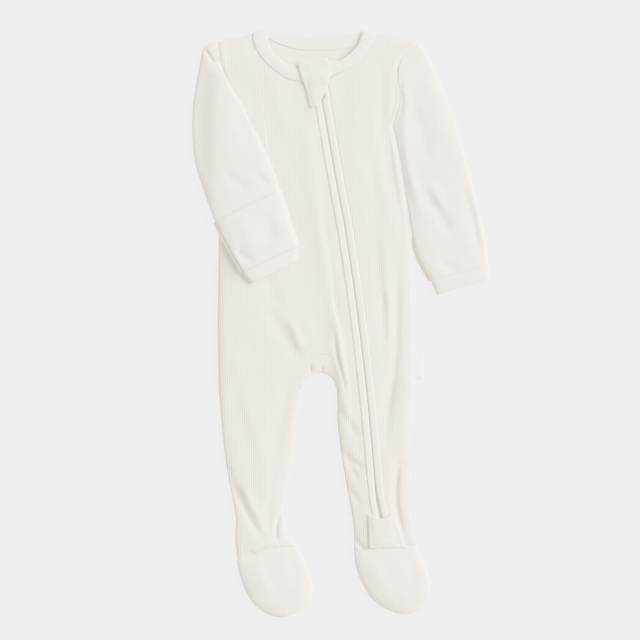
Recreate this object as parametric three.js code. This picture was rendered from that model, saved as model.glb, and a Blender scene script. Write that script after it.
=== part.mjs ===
// A footed baby sleepsuit in rib knit, laid flat on its back, front up, with the left sleeve folded
// across the body and the right sleeve lying beside it. A zip runs from the neck to the right ankle.
// Millimetres. X runs across the suit, Y from the feet to the neck, Z up from the surface it lies on.
// Left and right are as seen when looking down at the front.
// Every cloth piece is a wall grown from a sheet of points, half its thickness to each side.

import * as THREE from "three";

// ---- driving dimensions -------------------------------------------------------------------------

const KNIT = 1.2;              // one layer of rib knit
const BINDING = 1.8;           // knit folded double and pressed: neck, cuffs, guards, zip bindings
const TAPE = 1.0;              // woven zip tape and label
const SEAM = 0.3;              // gap between two pieces at a seam, or between a piece and what it lies on
const CURVED_SEAM = 0.95;      // the same along a tight curve, where each piece is cut in its own straight steps
const ARMHOLE_SEAM = 2.0;      // the same at an armhole, where the sleeve's rounded edge also needs room

const EDGE_LEVEL = KNIT + SEAM + KNIT / 2;   // middle of the front layer where it meets the back
const FULLNESS = 2.9;          // how much higher the front lies away from the edges
const FULLNESS_RUN = 24;       // how far in from an edge it takes to rise
const FOOT_FULLNESS = 0.5;     // extra height over the toes
const FOOT_RUN = 30;           // how far below the ankle seam that extra height is reached

const ZIP_BINDING_REACH = 7.3; // zip line to the outer edge of a zip binding
const ZIP_GAP = 1.2;           // zip line to the inner edge of a zip binding
const SLIDER_GAP = 4.4;        // the same beside the slider
const TAPE_REACH = 6.3;        // zip line to the edge of the tape
const ZIP_TOP_Y = 239;         // where the zip starts, under the neck binding
const TAPE_END = 0.985;        // share of the zip line that the tape reaches
const BINDING_END = 0.999;     // and the share that its bindings reach
const SLIDER = { width: 5.6, length: 9, height: 2.3, y: 231, taper: 0.7 };
const SLIDER_AIM_Y = 225;      // a place further down the zip line that the slider points to
const PARTED_FROM_Y = 221;     // the bindings part between here
const PARTED_BY_Y = 226;       // and here, to go round the slider
const GUARD_RISE_REACH = 14;   // how far from the slider the chin guard is lifted over it

const SLEEVE_LOFT = 2.4;       // height between a sleeve's layers, above the pressed edge
const PRESSED_EDGE = KNIT + SEAM;            // distance between the two layers' middles at a fold
const SLEEVE_EDGE_INSET = PRESSED_EDGE / 2 + KNIT / 2;
const SLEEVE_DROP_START = 6;   // how far outside the body a sleeve that lies on it starts to come down
const SLEEVE_DROP_RUN = 9;     // how far it takes to reach the surface
const SLEEVE_LIFT = 0.5;       // clearance under a sleeve that lies on the body

const SLEEVE_EDGE_BULGE = 1.3; // how soon a sleeve reaches its full height in from its folds
const CUFF_GAP = 0.025;        // share of a section's length that is left open at each side of a cuff seam
const CUFF_MIDDLE = 0.55;      // where a cuff has its middle section
const CUFF_THINNING = 0.25;    // how much flatter a cuff lies at each section towards its hem
const SHOULDER_Y = 262;        // where the left sleeve starts to be held up by the body
const SHOULDER_RUN = 14;       // how far down it takes until it is wholly held up

const NECK_FOLD_RADIUS = 1.3;  // middle of the neck binding where it turns over at a shoulder
const NECK_TURN = 0.72;        // share of the left neck seam where the middle of the front ends
const NECK_STEPS = { front: 8, fold: 4, back: 10 };
const LABEL = { y: -43.5, length: 24, reach: 9.5 };

const GRID = { leg: 6, middle: 8, body: 18, bodyBias: 1.3, legRows: 9, foot: 7, zip: 22 };

const COLOURS = {
  knit: 0xebe6df, rib: 0xe8e2da, tape: 0xd8cfc2, metal: 0xcfcac2, label: 0xf4f2ee,
};

// ---- outlines: points along each edge, [x, y] ---------------------------------------------------

const SHOULDER_LEFT = [[-122, 281], [-115, 282.5], [-100, 285.5], [-86.5, 289]];
const SHOULDER_RIGHT = [[35.5, 288], [44, 288], [59, 285], [78, 279.5]];
const ARMHOLE_LEFT = [[-122, 281], [-120.3, 265.5], [-115.3, 246]];
const ARMHOLE_RIGHT = [[78, 279.5], [61.6, 264], [58, 248], [60, 223], [52.8, 196]];

const CROTCH_Y = -65;
const SIDE_LEFT = [[-115.3, 246], [-119.5, 215], [-121.5, 185], [-121.2, 83], [-122, -20], [-121, CROTCH_Y]];
const SIDE_RIGHT = [[52.8, 196], [52.9, 182], [59.8, 150], [66.5, 112], [71, 73], [71.5, 23], [73, -20], [73, CROTCH_Y]];
const LEG_LEFT_OUTER = [[-121, CROTCH_Y], [-117, -113], [-113, -145], [-104, -195], [-104.5, -215], [-102.5, -235]];
const LEG_LEFT_INNER = [
  [-40.1, CROTCH_Y], [-41, -81], [-45, -101], [-47.5, -130], [-54, -167], [-57.5, -185], [-52.5, -211], [-43, -223.5],
];
const LEG_RIGHT_INNER = [
  [-1.4, CROTCH_Y], [-2.4, -81], [-2, -102], [1, -127], [8.5, -172], [14, -205], [14.5, -229],
];
const LEG_RIGHT_OUTER = [[73, CROTCH_Y], [70, -117], [70, -155], [69.5, -177], [75.5, -222.5]];

const NECK_SEAM_LEFT = [
  [-86.5, 289], [-87, 282], [-82, 271], [-74, 260], [-64.5, 252], [-54, 245], [-38, 241], [-22.8, 240],
];
const NECK_FREE_LEFT = [[-73.5, 292], [-72.5, 284], [-69, 272], [-61, 264], [-52.5, 258], [-43, 257.5], [-25.4, 257]];
const NECK_SEAM_RIGHT = [[-19.4, 240.5], [-9, 246.5], [5, 253], [15, 259], [25.5, 270], [32, 280], [35.5, 288]];
const NECK_FREE_RIGHT = [[-22, 257.5], [-12, 261.4], [-2, 261.4], [9, 268], [19, 279], [22.2, 290.5]];
const NECK_SEAM_BACK = [[-86.5, 289], [-72, 284.5], [-61, 279], [-45, 274], [-20, 272], [12, 275.5], [26, 281], [35.5, 288]];
const NECK_FREE_BACK = [[-73.5, 292], [-50, 288], [-30, 286.5], [-10, 287], [7, 288.5], [22.2, 290.5]];

const CROTCH_ARCH = [[-38.3, CROTCH_Y], [-34.5, -57], [-24, -50], [-14, -50.5], [-7, -56], [-3.2, CROTCH_Y]];
const GUSSET_TOP = [[-39.8, CROTCH_Y], [-39, -46], [-33, -36], [-20, -31.5], [-8, -35], [-2, -46], [-1.7, CROTCH_Y]];

const ZIP_LINE = [
  [-21.2, 241], [-12.4, 189], [-2.5, 133], [3.3, 103], [10.4, 58], [20.3, -15], [28, -84], [33.8, -147],
  [36.3, -172], [45.8, -222],
];

const ANKLE_LEFT = [[-102.5, -235], [-92, -233], [-79, -227.5], [-61, -224], [-43, -223.5]];
const ANKLE_RIGHT = [[14.5, -229], [26, -225.5], [44, -223], [64, -222], [75.5, -222.5]];

const FEET = {
  left: {
    ankle: ANKLE_LEFT,
    outer: [[-102.5, -235], [-102, -243], [-97, -261], [-88, -278], [-77, -288]],
    inner: [[-43, -223.5], [-36, -237], [-30, -253], [-27.5, -266], [-31, -278], [-42, -288.5]],
    toe: [[-77, -288], [-65, -293], [-54, -293], [-42, -288.5]],
  },
  right: {
    ankle: ANKLE_RIGHT,
    outer: [[14.5, -229], [16, -243], [22, -259], [31, -274], [43, -284]],
    inner: [[75.5, -222.5], [83, -239], [89, -255], [90, -267], [86, -278], [77, -287]],
    toe: [[43, -284], [56, -289.5], [68, -290.5], [77, -287]],
  },
};

const CHIN_GUARD = {
  top: [[-42.5, 260], [-28, 262.5], [-13.5, 264.5]],
  left: [[-42.5, 260], [-38.5, 245], [-34, 234], [-30.5, 217]],
  right: [[-13.5, 264.5], [-10, 243], [-14.5, 232], [-24.5, 216.5]],
  bottom: [[-30.5, 217], [-27.6, 214.4], [-24.5, 216.5]],
};
const ANKLE_GUARD = {
  top: [[28, -191], [43, -195.5], [52.5, -190]],
  left: [[28, -191], [29.5, -222.3]],
  right: [[52.5, -190], [65, -221.4]],
  bottom: [[29.5, -222.3], [45, -221.6], [65, -221.4]],
};

// ---- sleeves: a row for each section, from the armhole to the hem --------------------------------

const SLEEVE_LEFT = [
  { outer: [-135.5, 276], inner: [-112, 241] },
  { outer: [-140.5, 257], inner: [-107, 232] },
  { outer: [-144.5, 236], inner: [-99, 220] },
  { outer: [-147.5, 211], inner: [-90, 201] },
  { outer: [-147.5, 185], inner: [-80, 182] },
  { outer: [-144.5, 158], inner: [-70, 161] },
  { outer: [-136, 131], inner: [-63.5, 146] },
  { outer: [-124.5, 100.5], inner: [-60.5, 132], mittenMouth: true },
  { outer: [-111.5, 76], inner: [-52.5, 106] },
  { outer: [-97, 50.5], inner: [-43.2, 76], cuffSeam: true },
  { outer: [-87.5, 40], inner: [-43.5, 63] },
];
const SLEEVE_RIGHT = [
  { outer: [91, 261], via: [63, 226], inner: [55.2, 188] },
  { outer: [101, 239], via: [73, 209], inner: [57.2, 176] },
  { outer: [112, 212], inner: [60.2, 162] },
  { outer: [119.5, 187], inner: [62.3, 148] },
  { outer: [126.5, 160], inner: [64.8, 131] },
  { outer: [134, 133], inner: [67.8, 113] },
  { outer: [140.5, 106], inner: [71.5, 90], mittenMouth: true },
  { outer: [145.5, 80], inner: [79, 64] },
  { outer: [148, 57.5], inner: [91, 42], cuffSeam: true },
  { outer: [148.5, 44.5], inner: [97, 28.5] },
];
const SLEEVE_STEPS = 8;        // points across one layer of a sleeve
const MITTEN_PEEK = 3;         // how far the right mitten shows past the sleeve that covers it

// ---- the largest folds in the front, from one end to the other; depth below zero is a trough -----

const FOLDS = [
  { x0: -28, y0: 200, x1: 4, y1: -10, width: 7, depth: -1.1 },
  { x0: 4, y0: -10, x1: 8, y1: -85, width: 6, depth: -1.4 },
  { x0: -68, y0: 8, x1: -38, y1: -30, width: 7, depth: -1.3 },
  { x0: -50, y0: -52, x1: -62, y1: -125, width: 9, depth: -1.3 },
  { x0: -105, y0: -56, x1: -88, y1: -130, width: 8, depth: -1.1 },
  { x0: -104, y0: -158, x1: -80, y1: -208, width: 6, depth: -1.0 },
  { x0: 42, y0: 22, x1: 44, y1: -25, width: 6, depth: -1.0 },
  { x0: 61, y0: 24, x1: 47, y1: -128, width: 7, depth: -1.2 },
  { x0: 5, y0: -132, x1: 18, y1: -180, width: 6, depth: -1.0 },
];

// ---- curves and patches --------------------------------------------------------------------------

const clamp = THREE.MathUtils.clamp;

/** A smooth curve through a few points: t from 0 to 1 gives [x, y]. */
function through(points) {
  const curve = new THREE.CatmullRomCurve3(
    points.map(([x, y]) => new THREE.Vector3(x, y, 0)), false, "centripetal");
  curve.arcLengthDivisions = 400;
  return (t) => {
    const p = curve.getPointAt(clamp(t, 0, 1));
    return [p.x, p.y];
  };
}

const straight = (a, b) => (t) => [a[0] + (b[0] - a[0]) * t, a[1] + (b[1] - a[1]) * t];
const part = (curve, from, to) => (t) => curve(from + (to - from) * t);

/** Two curves end to end as one, each given the share of t that its length has. */
function chain(first, second) {
  const split = lengthOf(first) / (lengthOf(first) + lengthOf(second));
  return (t) => (t < split ? first(t / split) : second((t - split) / (1 - split)));
}

function lengthOf(curve, steps = 200) {
  let total = 0;
  for (let i = 0; i < steps; i += 1) {
    const [a, b] = [curve(i / steps), curve((i + 1) / steps)];
    total += Math.hypot(b[0] - a[0], b[1] - a[1]);
  }
  return total;
}

/** The curve moved sideways: a positive distance is to the left of the direction it runs in. */
function beside(curve, distance) {
  const step = 1e-3;
  return (t) => {
    const a = curve(Math.max(t - step, 0));
    const b = curve(Math.min(t + step, 1));
    const run = Math.hypot(b[0] - a[0], b[1] - a[1]);
    const p = curve(t);
    return [p[0] - (b[1] - a[1]) / run * distance, p[1] + (b[0] - a[0]) / run * distance];
  };
}

/** Where a curve that runs one way in an axis (0 for x, 1 for y) passes a value. */
function whereAt(curve, axis, value) {
  const rising = curve(1)[axis] > curve(0)[axis];
  let [low, high] = [0, 1];
  for (let i = 0; i < 40; i += 1) {
    const middle = (low + high) / 2;
    if (curve(middle)[axis] < value === rising) low = middle;
    else high = middle;
  }
  return (low + high) / 2;
}

/**
 * A grid of [x, y] filling four curves: top and bottom run left to right, left and right run down.
 * A bias above 1 puts the rows closer together at the top.
 */
function patch({ top, bottom, left, right, columns, rows, bias = 1 }) {
  const grid = [];
  for (let r = 0; r <= rows; r += 1) {
    const v = (r / rows) ** bias;
    const line = [];
    for (let c = 0; c <= columns; c += 1) {
      const u = c / columns;
      line.push([0, 1].map((k) => (1 - v) * top(u)[k] + v * bottom(u)[k]
        + (1 - u) * left(v)[k] + u * right(v)[k]
        - (1 - u) * (1 - v) * top(0)[k] - u * (1 - v) * top(1)[k]
        - (1 - u) * v * bottom(0)[k] - u * v * bottom(1)[k]));
    }
    grid.push(line);
  }
  return grid;
}

/** A patch's grid lifted to a level given by a function of x and y. */
const lifted = (grid, level) => grid.map((line) => line.map(([x, y]) => [x, y, level(x, y)]));

// ---- cloth: closed walls grown from grids of points ----------------------------------------------

/** One closed wall from grids of [x, y, z] that share their edge points. */
function cloth(grids, thickness) {
  const points = [];
  const quads = [];
  const known = new Map();
  const indexOf = (p) => {
    const key = p.map((value) => Math.round(value * 500)).join();
    if (!known.has(key)) {
      known.set(key, points.length);
      points.push(new THREE.Vector3(...p));
    }
    return known.get(key);
  };
  for (const grid of grids) {
    for (let r = 0; r + 1 < grid.length; r += 1) {
      for (let c = 0; c + 1 < grid[r].length; c += 1) {
        quads.push([grid[r][c], grid[r + 1][c], grid[r + 1][c + 1], grid[r][c + 1]].map(indexOf));
      }
    }
  }
  const triangles = quads.flatMap(([a, b, c, d]) => {
    const across = points[a].distanceTo(points[c]) <= points[b].distanceTo(points[d]);
    return across ? [[a, b, c], [a, c, d]] : [[a, b, d], [b, c, d]];
  }).filter(([a, b, c]) => a !== b && b !== c && a !== c);

  const normals = points.map(() => new THREE.Vector3());
  for (const [a, b, c] of triangles) {
    const face = new THREE.Vector3().subVectors(points[b], points[a])
      .cross(new THREE.Vector3().subVectors(points[c], points[a]));
    for (const i of [a, b, c]) normals[i].add(face);
  }
  const positions = [];
  for (const side of [thickness / 2, -thickness / 2]) {
    points.forEach((p, i) => positions.push(...p.clone().addScaledVector(normals[i].clone().normalize(), side)));
  }
  const n = points.length;
  const index = [];
  const edges = new Map();
  for (const [a, b, c] of triangles) {
    index.push(a, b, c, n + a, n + c, n + b);
    for (const [from, to] of [[a, b], [b, c], [c, a]]) {
      if (!edges.delete(`${to},${from}`)) edges.set(`${from},${to}`, [from, to]);
    }
  }
  for (const [from, to] of edges.values()) index.push(from, n + from, n + to, from, n + to, to);
  const geometry = new THREE.BufferGeometry();
  geometry.setAttribute("position", new THREE.Float32BufferAttribute(positions, 3));
  geometry.setIndex(index);
  geometry.computeVertexNormals();
  return geometry;
}

const suit = new THREE.Group();

function add(name, geometry, colour, roughness = 0.95, metalness = 0) {
  const mesh = new THREE.Mesh(geometry, new THREE.MeshStandardMaterial({ color: colour, roughness, metalness }));
  mesh.name = name;
  suit.add(mesh);
  return mesh;
}

// ---- how high the front layer lies ---------------------------------------------------------------

const EDGES = [
  SHOULDER_LEFT, SHOULDER_RIGHT, SIDE_LEFT, SIDE_RIGHT, LEG_LEFT_OUTER, LEG_LEFT_INNER, LEG_RIGHT_INNER,
  LEG_RIGHT_OUTER, CROTCH_ARCH, FEET.left.outer, FEET.left.inner, FEET.left.toe, FEET.right.outer,
  FEET.right.inner, FEET.right.toe,
].map((points) => {
  const curve = through(points);
  const steps = points.length * 3;
  return Array.from({ length: steps + 1 }, (_, i) => curve(i / steps));
});

function distanceToSegment(x, y, [ax, ay], [bx, by]) {
  const run = (bx - ax) ** 2 + (by - ay) ** 2;
  const t = clamp(((x - ax) * (bx - ax) + (y - ay) * (by - ay)) / run, 0, 1);
  return Math.hypot(x - ax - t * (bx - ax), y - ay - t * (by - ay));
}

function distanceToEdge(x, y) {
  let nearest = Infinity;
  for (const line of EDGES) {
    for (let i = 0; i + 1 < line.length; i += 1) {
      nearest = Math.min(nearest, distanceToSegment(x, y, line[i], line[i + 1]));
    }
  }
  return nearest;
}

/** A rise from 0 to 1 that leaves 0 steeply and arrives level, as cloth does over a rounded edge. */
const rounded = (t) => Math.sqrt(1 - (1 - clamp(t, 0, 1)) ** 2);

function foldHeight(x, y) {
  return FOLDS.reduce((sum, { x0, y0, x1, y1, width, depth }) => {
    const away = distanceToSegment(x, y, [x0, y0], [x1, y1]) / width;
    return sum + depth * Math.exp(-away * away);
  }, 0);
}

/** Height of the middle of the front layer. */
function frontLevel(x, y) {
  const height = FULLNESS * rounded(distanceToEdge(x, y) / FULLNESS_RUN) + foldHeight(x, y);
  return EDGE_LEVEL + Math.max(height, 0);
}

/** The same without the folds, for the zip, which lies smooth. */
const smoothLevel = (x, y) => EDGE_LEVEL + FULLNESS * rounded(distanceToEdge(x, y) / FULLNESS_RUN);

// ---- body panels ---------------------------------------------------------------------------------

const zipLine = through(ZIP_LINE);
const zipCrotch = whereAt(zipLine, 1, CROTCH_Y);
// the zip line runs down the suit, so the left of the line is the right of the suit
const zipLeftEdge = beside(zipLine, -(ZIP_BINDING_REACH + SEAM));
const zipRightEdge = beside(zipLine, ZIP_BINDING_REACH + SEAM);

const neckSeamLeft = through(NECK_SEAM_LEFT);
const neckSeamRight = through(NECK_SEAM_RIGHT);
const bodyLeftEdge = chain(through(ARMHOLE_LEFT), through(SIDE_LEFT));
const bodyRightEdge = chain(through(ARMHOLE_RIGHT), through(SIDE_RIGHT));
const ankleLeft = through(ANKLE_LEFT);
const ankleRight = through(ANKLE_RIGHT);
const overAnkle = (curve) => beside(curve, SEAM / 2);

function buildBack() {
  const neck = beside(through(NECK_SEAM_BACK), -CURVED_SEAM);
  const arch = through(CROTCH_ARCH);
  const leftLine = straight(neck(0), arch(0));
  const rightLine = straight(neck(1), arch(1));
  const shoulderLeft = through([...SHOULDER_LEFT.slice(0, -1), neck(0)]);
  const shoulderRight = through([neck(1), ...SHOULDER_RIGHT.slice(1)]);
  const leg = { columns: GRID.leg, rows: GRID.legRows };
  const grids = [
    patch({
      top: shoulderLeft, bottom: straight(bodyLeftEdge(1), arch(0)), left: bodyLeftEdge, right: leftLine,
      columns: GRID.leg, rows: GRID.body, bias: GRID.bodyBias,
    }),
    patch({
      top: neck, bottom: arch, left: leftLine, right: rightLine,
      columns: GRID.middle, rows: GRID.body, bias: GRID.bodyBias,
    }),
    patch({
      top: shoulderRight, bottom: straight(arch(1), bodyRightEdge(1)), left: rightLine, right: bodyRightEdge,
      columns: GRID.leg, rows: GRID.body, bias: GRID.bodyBias,
    }),
    patch({
      top: straight(bodyLeftEdge(1), arch(0)), bottom: overAnkle(ankleLeft), left: through(LEG_LEFT_OUTER),
      right: through([arch(0), ...LEG_LEFT_INNER.slice(1)]), ...leg,
    }),
    patch({
      top: straight(arch(1), bodyRightEdge(1)), bottom: overAnkle(ankleRight),
      left: through([arch(1), ...LEG_RIGHT_INNER.slice(1)]), right: through(LEG_RIGHT_OUTER), ...leg,
    }),
  ];
  add("back_panel", cloth(grids.map((grid) => lifted(grid, () => KNIT / 2)), KNIT), COLOURS.knit);
}

/** The front from the left side to the zip, with the whole left leg and the inside of the right one. */
function buildFrontLeft() {
  const neck = beside(neckSeamLeft, -CURVED_SEAM);
  const neckAtZip = whereAt(neck, 0, zipLeftEdge(0)[0]);
  const neckTurn = neckAtZip * NECK_TURN;
  const gusset = beside(through(GUSSET_TOP), CURVED_SEAM);
  const leftLine = straight(neck(0), gusset(0));
  const rightLine = through([neck(neckTurn), [-24.5, 103], [0.5, -34], gusset(1)]);
  const zipTop = whereAt(zipLeftEdge, 1, neck(neckAtZip)[1]);
  const zipAnkle = whereAt(zipLeftEdge, 1, ankleRight(whereAt(ankleRight, 0, zipLeftEdge(1)[0]))[1] + SEAM);
  const ankleEnd = whereAt(ankleRight, 0, zipLeftEdge(zipAnkle)[0]);
  const legTop = straight(gusset(1), zipLeftEdge(zipCrotch));
  const grids = [
    patch({
      top: through([...SHOULDER_LEFT.slice(0, -1), neck(0)]), bottom: straight(bodyLeftEdge(1), gusset(0)),
      left: bodyLeftEdge, right: leftLine, columns: GRID.leg, rows: GRID.body, bias: GRID.bodyBias,
    }),
    patch({
      top: part(neck, 0, neckTurn), bottom: gusset, left: leftLine, right: rightLine,
      columns: GRID.middle, rows: GRID.body, bias: GRID.bodyBias,
    }),
    patch({
      top: part(neck, neckTurn, neckAtZip), bottom: legTop, left: rightLine,
      right: part(zipLeftEdge, zipTop, zipCrotch), columns: 2, rows: GRID.body, bias: GRID.bodyBias,
    }),
    patch({
      top: straight(bodyLeftEdge(1), gusset(0)), bottom: overAnkle(ankleLeft), left: through(LEG_LEFT_OUTER),
      right: through([gusset(0), ...LEG_LEFT_INNER.slice(1)]), columns: GRID.leg, rows: GRID.legRows,
    }),
    patch({
      top: legTop, bottom: part(overAnkle(ankleRight), 0, ankleEnd),
      left: through([gusset(1), ...LEG_RIGHT_INNER.slice(1)]), right: part(zipLeftEdge, zipCrotch, zipAnkle),
      columns: 2, rows: GRID.legRows,
    }),
  ];
  add("front_panel_left", cloth(grids.map((grid) => lifted(grid, frontLevel)), KNIT), COLOURS.knit);
}

/** The front from the zip to the right side, with the outside of the right leg. */
function buildFrontRight() {
  const neck = beside(neckSeamRight, -CURVED_SEAM);
  const neckAtZip = whereAt(neck, 0, zipRightEdge(0)[0]);
  const zipTop = whereAt(zipRightEdge, 1, neck(neckAtZip)[1]);
  const zipAnkle = whereAt(zipRightEdge, 1, ankleRight(whereAt(ankleRight, 0, zipRightEdge(1)[0]))[1] + SEAM);
  const ankleStart = whereAt(ankleRight, 0, zipRightEdge(zipAnkle)[0]);
  const ankle = part(overAnkle(ankleRight), ankleStart, 1);
  const outside = chain(bodyRightEdge, through(LEG_RIGHT_OUTER));
  const middleLine = through([neck(1), [52, 120], [52, -60], ankle(0.5)]);
  const rows = GRID.body + GRID.legRows;
  const bias = GRID.bodyBias;
  const grids = [
    patch({
      top: part(neck, neckAtZip, 1), bottom: part(ankle, 0, 0.5), left: part(zipRightEdge, zipTop, zipAnkle),
      right: middleLine, columns: 5, rows, bias,
    }),
    patch({
      top: through([neck(1), ...SHOULDER_RIGHT.slice(1)]), bottom: part(ankle, 0.5, 1), left: middleLine,
      right: outside, columns: 3, rows, bias,
    }),
  ];
  add("front_panel_right", cloth(grids.map((grid) => lifted(grid, frontLevel)), KNIT), COLOURS.knit);
}

/** The crescent let in where the legs part. */
function buildGusset() {
  const top = through(GUSSET_TOP);
  const arch = through(CROTCH_ARCH);
  const grid = patch({
    top, bottom: arch, left: straight(top(0), arch(0)), right: straight(top(1), arch(1)),
    columns: GRID.middle, rows: 2,
  });
  add("crotch_gusset", cloth([lifted(grid, frontLevel)], KNIT), COLOURS.knit);
}

// ---- neck, zip and guards ------------------------------------------------------------------------

/** One strip round the neck: down the front on each side, and turned over at the shoulders. */
function buildNeckBinding() {
  const backLevel = BINDING / 2;
  const foldTop = backLevel + 2 * NECK_FOLD_RADIUS;
  const rows = [];
  const station = (seam, free, z) => {
    rows.push([0, 0.5, 1].map((k) => {
      const [x, y] = straight(seam, free)(k);
      return [x, y, z];
    }));
  };
  const frontStations = (seam, free, from, to) => {
    for (let i = 0; i <= NECK_STEPS.front; i += 1) {
      const t = from + (to - from) * i / NECK_STEPS.front;
      station(seam(t), free(t), Math.max(foldTop, smoothLevel(...seam(t))));
    }
  };
  const turnOver = (seam, free, direction) => {
    const run = Math.hypot(free[0] - seam[0], free[1] - seam[1]);
    const outward = [-(free[1] - seam[1]) / run * direction, (free[0] - seam[0]) / run * direction];
    for (let i = 1; i < NECK_STEPS.fold; i += 1) {
      const angle = Math.PI * (0.5 - i / NECK_STEPS.fold) * direction;
      const out = NECK_FOLD_RADIUS * Math.cos(angle);
      const shift = ([x, y]) => [x + outward[0] * out, y + outward[1] * out];
      station(shift(seam), shift(free), backLevel + NECK_FOLD_RADIUS * (1 + Math.sin(angle)));
    }
  };
  const freeLeft = through(NECK_FREE_LEFT);
  const freeRight = through(NECK_FREE_RIGHT);
  const seamBack = through(NECK_SEAM_BACK);
  const freeBack = through(NECK_FREE_BACK);
  frontStations(neckSeamLeft, freeLeft, 1, 0);
  turnOver(neckSeamLeft(0), freeLeft(0), 1);
  for (let i = 0; i <= NECK_STEPS.back; i += 1) {
    station(seamBack(i / NECK_STEPS.back), freeBack(i / NECK_STEPS.back), backLevel);
  }
  turnOver(neckSeamRight(1), freeRight(1), -1);
  frontStations(neckSeamRight, freeRight, 1, 0);
  add("neck_binding", cloth([rows], BINDING), COLOURS.rib);
}

/** The level of the zip bindings' middle: a little proud of the front they are stitched to. */
const zipBindingLevel = (x, y) => smoothLevel(x, y) + (BINDING - KNIT) / 2;
const tapeLevel = (x, y) => zipBindingLevel(x, y) - BINDING / 2 - SEAM - TAPE / 2;

function buildZip() {
  const top = whereAt(zipLine, 1, ZIP_TOP_Y);
  const sides = { left: -1, right: 1 };
  for (const [side, sign] of Object.entries(sides)) {
    const inner = (t) => {
      const [, y] = zipLine(t);
      const nearSlider = clamp((y - PARTED_FROM_Y) / (PARTED_BY_Y - PARTED_FROM_Y), 0, 1);
      return beside(zipLine, sign * (ZIP_GAP + (SLIDER_GAP - ZIP_GAP) * nearSlider))(t);
    };
    const outer = beside(zipLine, sign * ZIP_BINDING_REACH);
    const innerPart = part(inner, top, BINDING_END);
    const outerPart = part(outer, top, BINDING_END);
    const [left, right] = sign < 0 ? [outerPart, innerPart] : [innerPart, outerPart];
    const grid = patch({
      top: straight(left(0), right(0)), bottom: straight(left(1), right(1)), left, right, columns: 1, rows: GRID.zip,
    });
    add(`zip_binding_${side}`, cloth([lifted(grid, zipBindingLevel)], BINDING), COLOURS.rib);
  }
  const left = part(beside(zipLine, -TAPE_REACH), top, TAPE_END);
  const right = part(beside(zipLine, TAPE_REACH), top, TAPE_END);
  const tape = patch({
    top: straight(left(0), right(0)), bottom: straight(left(1), right(1)), left, right, columns: 2, rows: GRID.zip,
  });
  add("zip_tape", cloth([lifted(tape, tapeLevel)], TAPE), COLOURS.tape);
  buildSlider(zipLine(whereAt(zipLine, 1, SLIDER.y)), zipLine(whereAt(zipLine, 1, SLIDER_AIM_Y)));
}

/** The slider at the top of the zip, narrower towards the closed side. The chin guard hides it. */
function buildSlider(centre, below) {
  const outline = new THREE.Shape();
  const [w, l] = [SLIDER.width / 2, SLIDER.length / 2];
  outline.moveTo(-w, l);
  outline.lineTo(-w * SLIDER.taper, -l);
  outline.lineTo(w * SLIDER.taper, -l);
  outline.lineTo(w, l);
  outline.closePath();
  const body = new THREE.ExtrudeGeometry(outline, { depth: SLIDER.height, bevelEnabled: false });
  const slider = add("zip_slider", body, COLOURS.metal, 0.35, 0.9);
  slider.position.set(centre[0], centre[1], tapeLevel(...centre) + TAPE / 2 + SEAM);
  slider.rotation.z = Math.atan2(below[1] - centre[1], below[0] - centre[0]) + Math.PI / 2;
}

/** A guard sewn on over what is under it. */
function buildGuard(name, { top, left, right, bottom }, level, columns, rows) {
  const grid = patch({
    top: through(top), bottom: through(bottom), left: through(left), right: through(right), columns, rows,
  });
  add(name, cloth([lifted(grid, level)], BINDING), COLOURS.rib);
}

function buildGuards() {
  const overBinding = BINDING + SEAM;
  const [sliderX, sliderY] = zipLine(whereAt(zipLine, 1, SLIDER.y));
  const sliderTop = SEAM + SLIDER.height + TAPE / 2;
  const overSlider = (x, y) => {
    const away = Math.hypot(x - sliderX, y - sliderY) / GUARD_RISE_REACH;
    return Math.max(tapeLevel(sliderX, sliderY) + sliderTop + 2 * SEAM + BINDING / 2
      - zipBindingLevel(sliderX, sliderY) - overBinding, 0) * Math.exp(-(away ** 4));
  };
  buildGuard("chin_guard", CHIN_GUARD, (x, y) => zipBindingLevel(x, y) + overBinding + overSlider(x, y), 6, 9);
  buildGuard("ankle_guard", ANKLE_GUARD, (x, y) => zipBindingLevel(x, y) + overBinding, 5, 5);
}

// ---- sleeves, cuffs and mittens ------------------------------------------------------------------

/** One section of a sleeve: its points across, in from both folds, as a curve of t. */
function across({ outer, via, inner }) {
  return via ? through([outer, via, inner]) : straight(outer, inner);
}

/** A sleeve's sections with its own armhole curve first, each as its curve and the level it lies on. */
function sleeveSections(rows, armhole, level) {
  return [armhole, ...rows.map(across)].map((curve) => {
    const inset = SLEEVE_EDGE_INSET / lengthOf(curve);
    const inside = part(curve, inset, 1 - inset);
    return { curve: inside, level };
  });
}

/** The ring of middle points round a section: over the top, round one fold, and back underneath. */
function ringOf({ curve, level }, loft, thickness) {
  const upper = [];
  const lower = [];
  for (let i = 0; i <= SLEEVE_STEPS; i += 1) {
    const t = 0.5 - 0.5 * Math.cos(Math.PI * i / SLEEVE_STEPS);
    const [x, y] = curve(t);
    const low = level(x, y) + thickness / 2;
    const edge = thickness + SEAM;
    lower.push([x, y, low]);
    upper.push([x, y, low + edge + loft * rounded(2 * Math.min(t, 1 - t) * SLEEVE_EDGE_BULGE)]);
  }
  const bulge = (end, next, low) => {
    const run = Math.hypot(end[0] - next[0], end[1] - next[1]);
    const reach = (thickness + SEAM) / 2 / run;
    return [end[0] + (end[0] - next[0]) * reach, end[1] + (end[1] - next[1]) * reach, low + (thickness + SEAM) / 2];
  };
  const last = SLEEVE_STEPS;
  const outerFold = bulge(upper[0], upper[1], lower[0][2]);
  const innerFold = bulge(upper[last], upper[last - 1], lower[last][2]);
  return { upper, lower, ring: [...upper, innerFold, ...lower.slice().reverse(), outerFold, upper[0]] };
}

/** Part way from one section to the next. */
function between(a, b, k) {
  return { curve: (t) => straight(a.curve(t), b.curve(t))(k), level: b.level };
}

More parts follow.
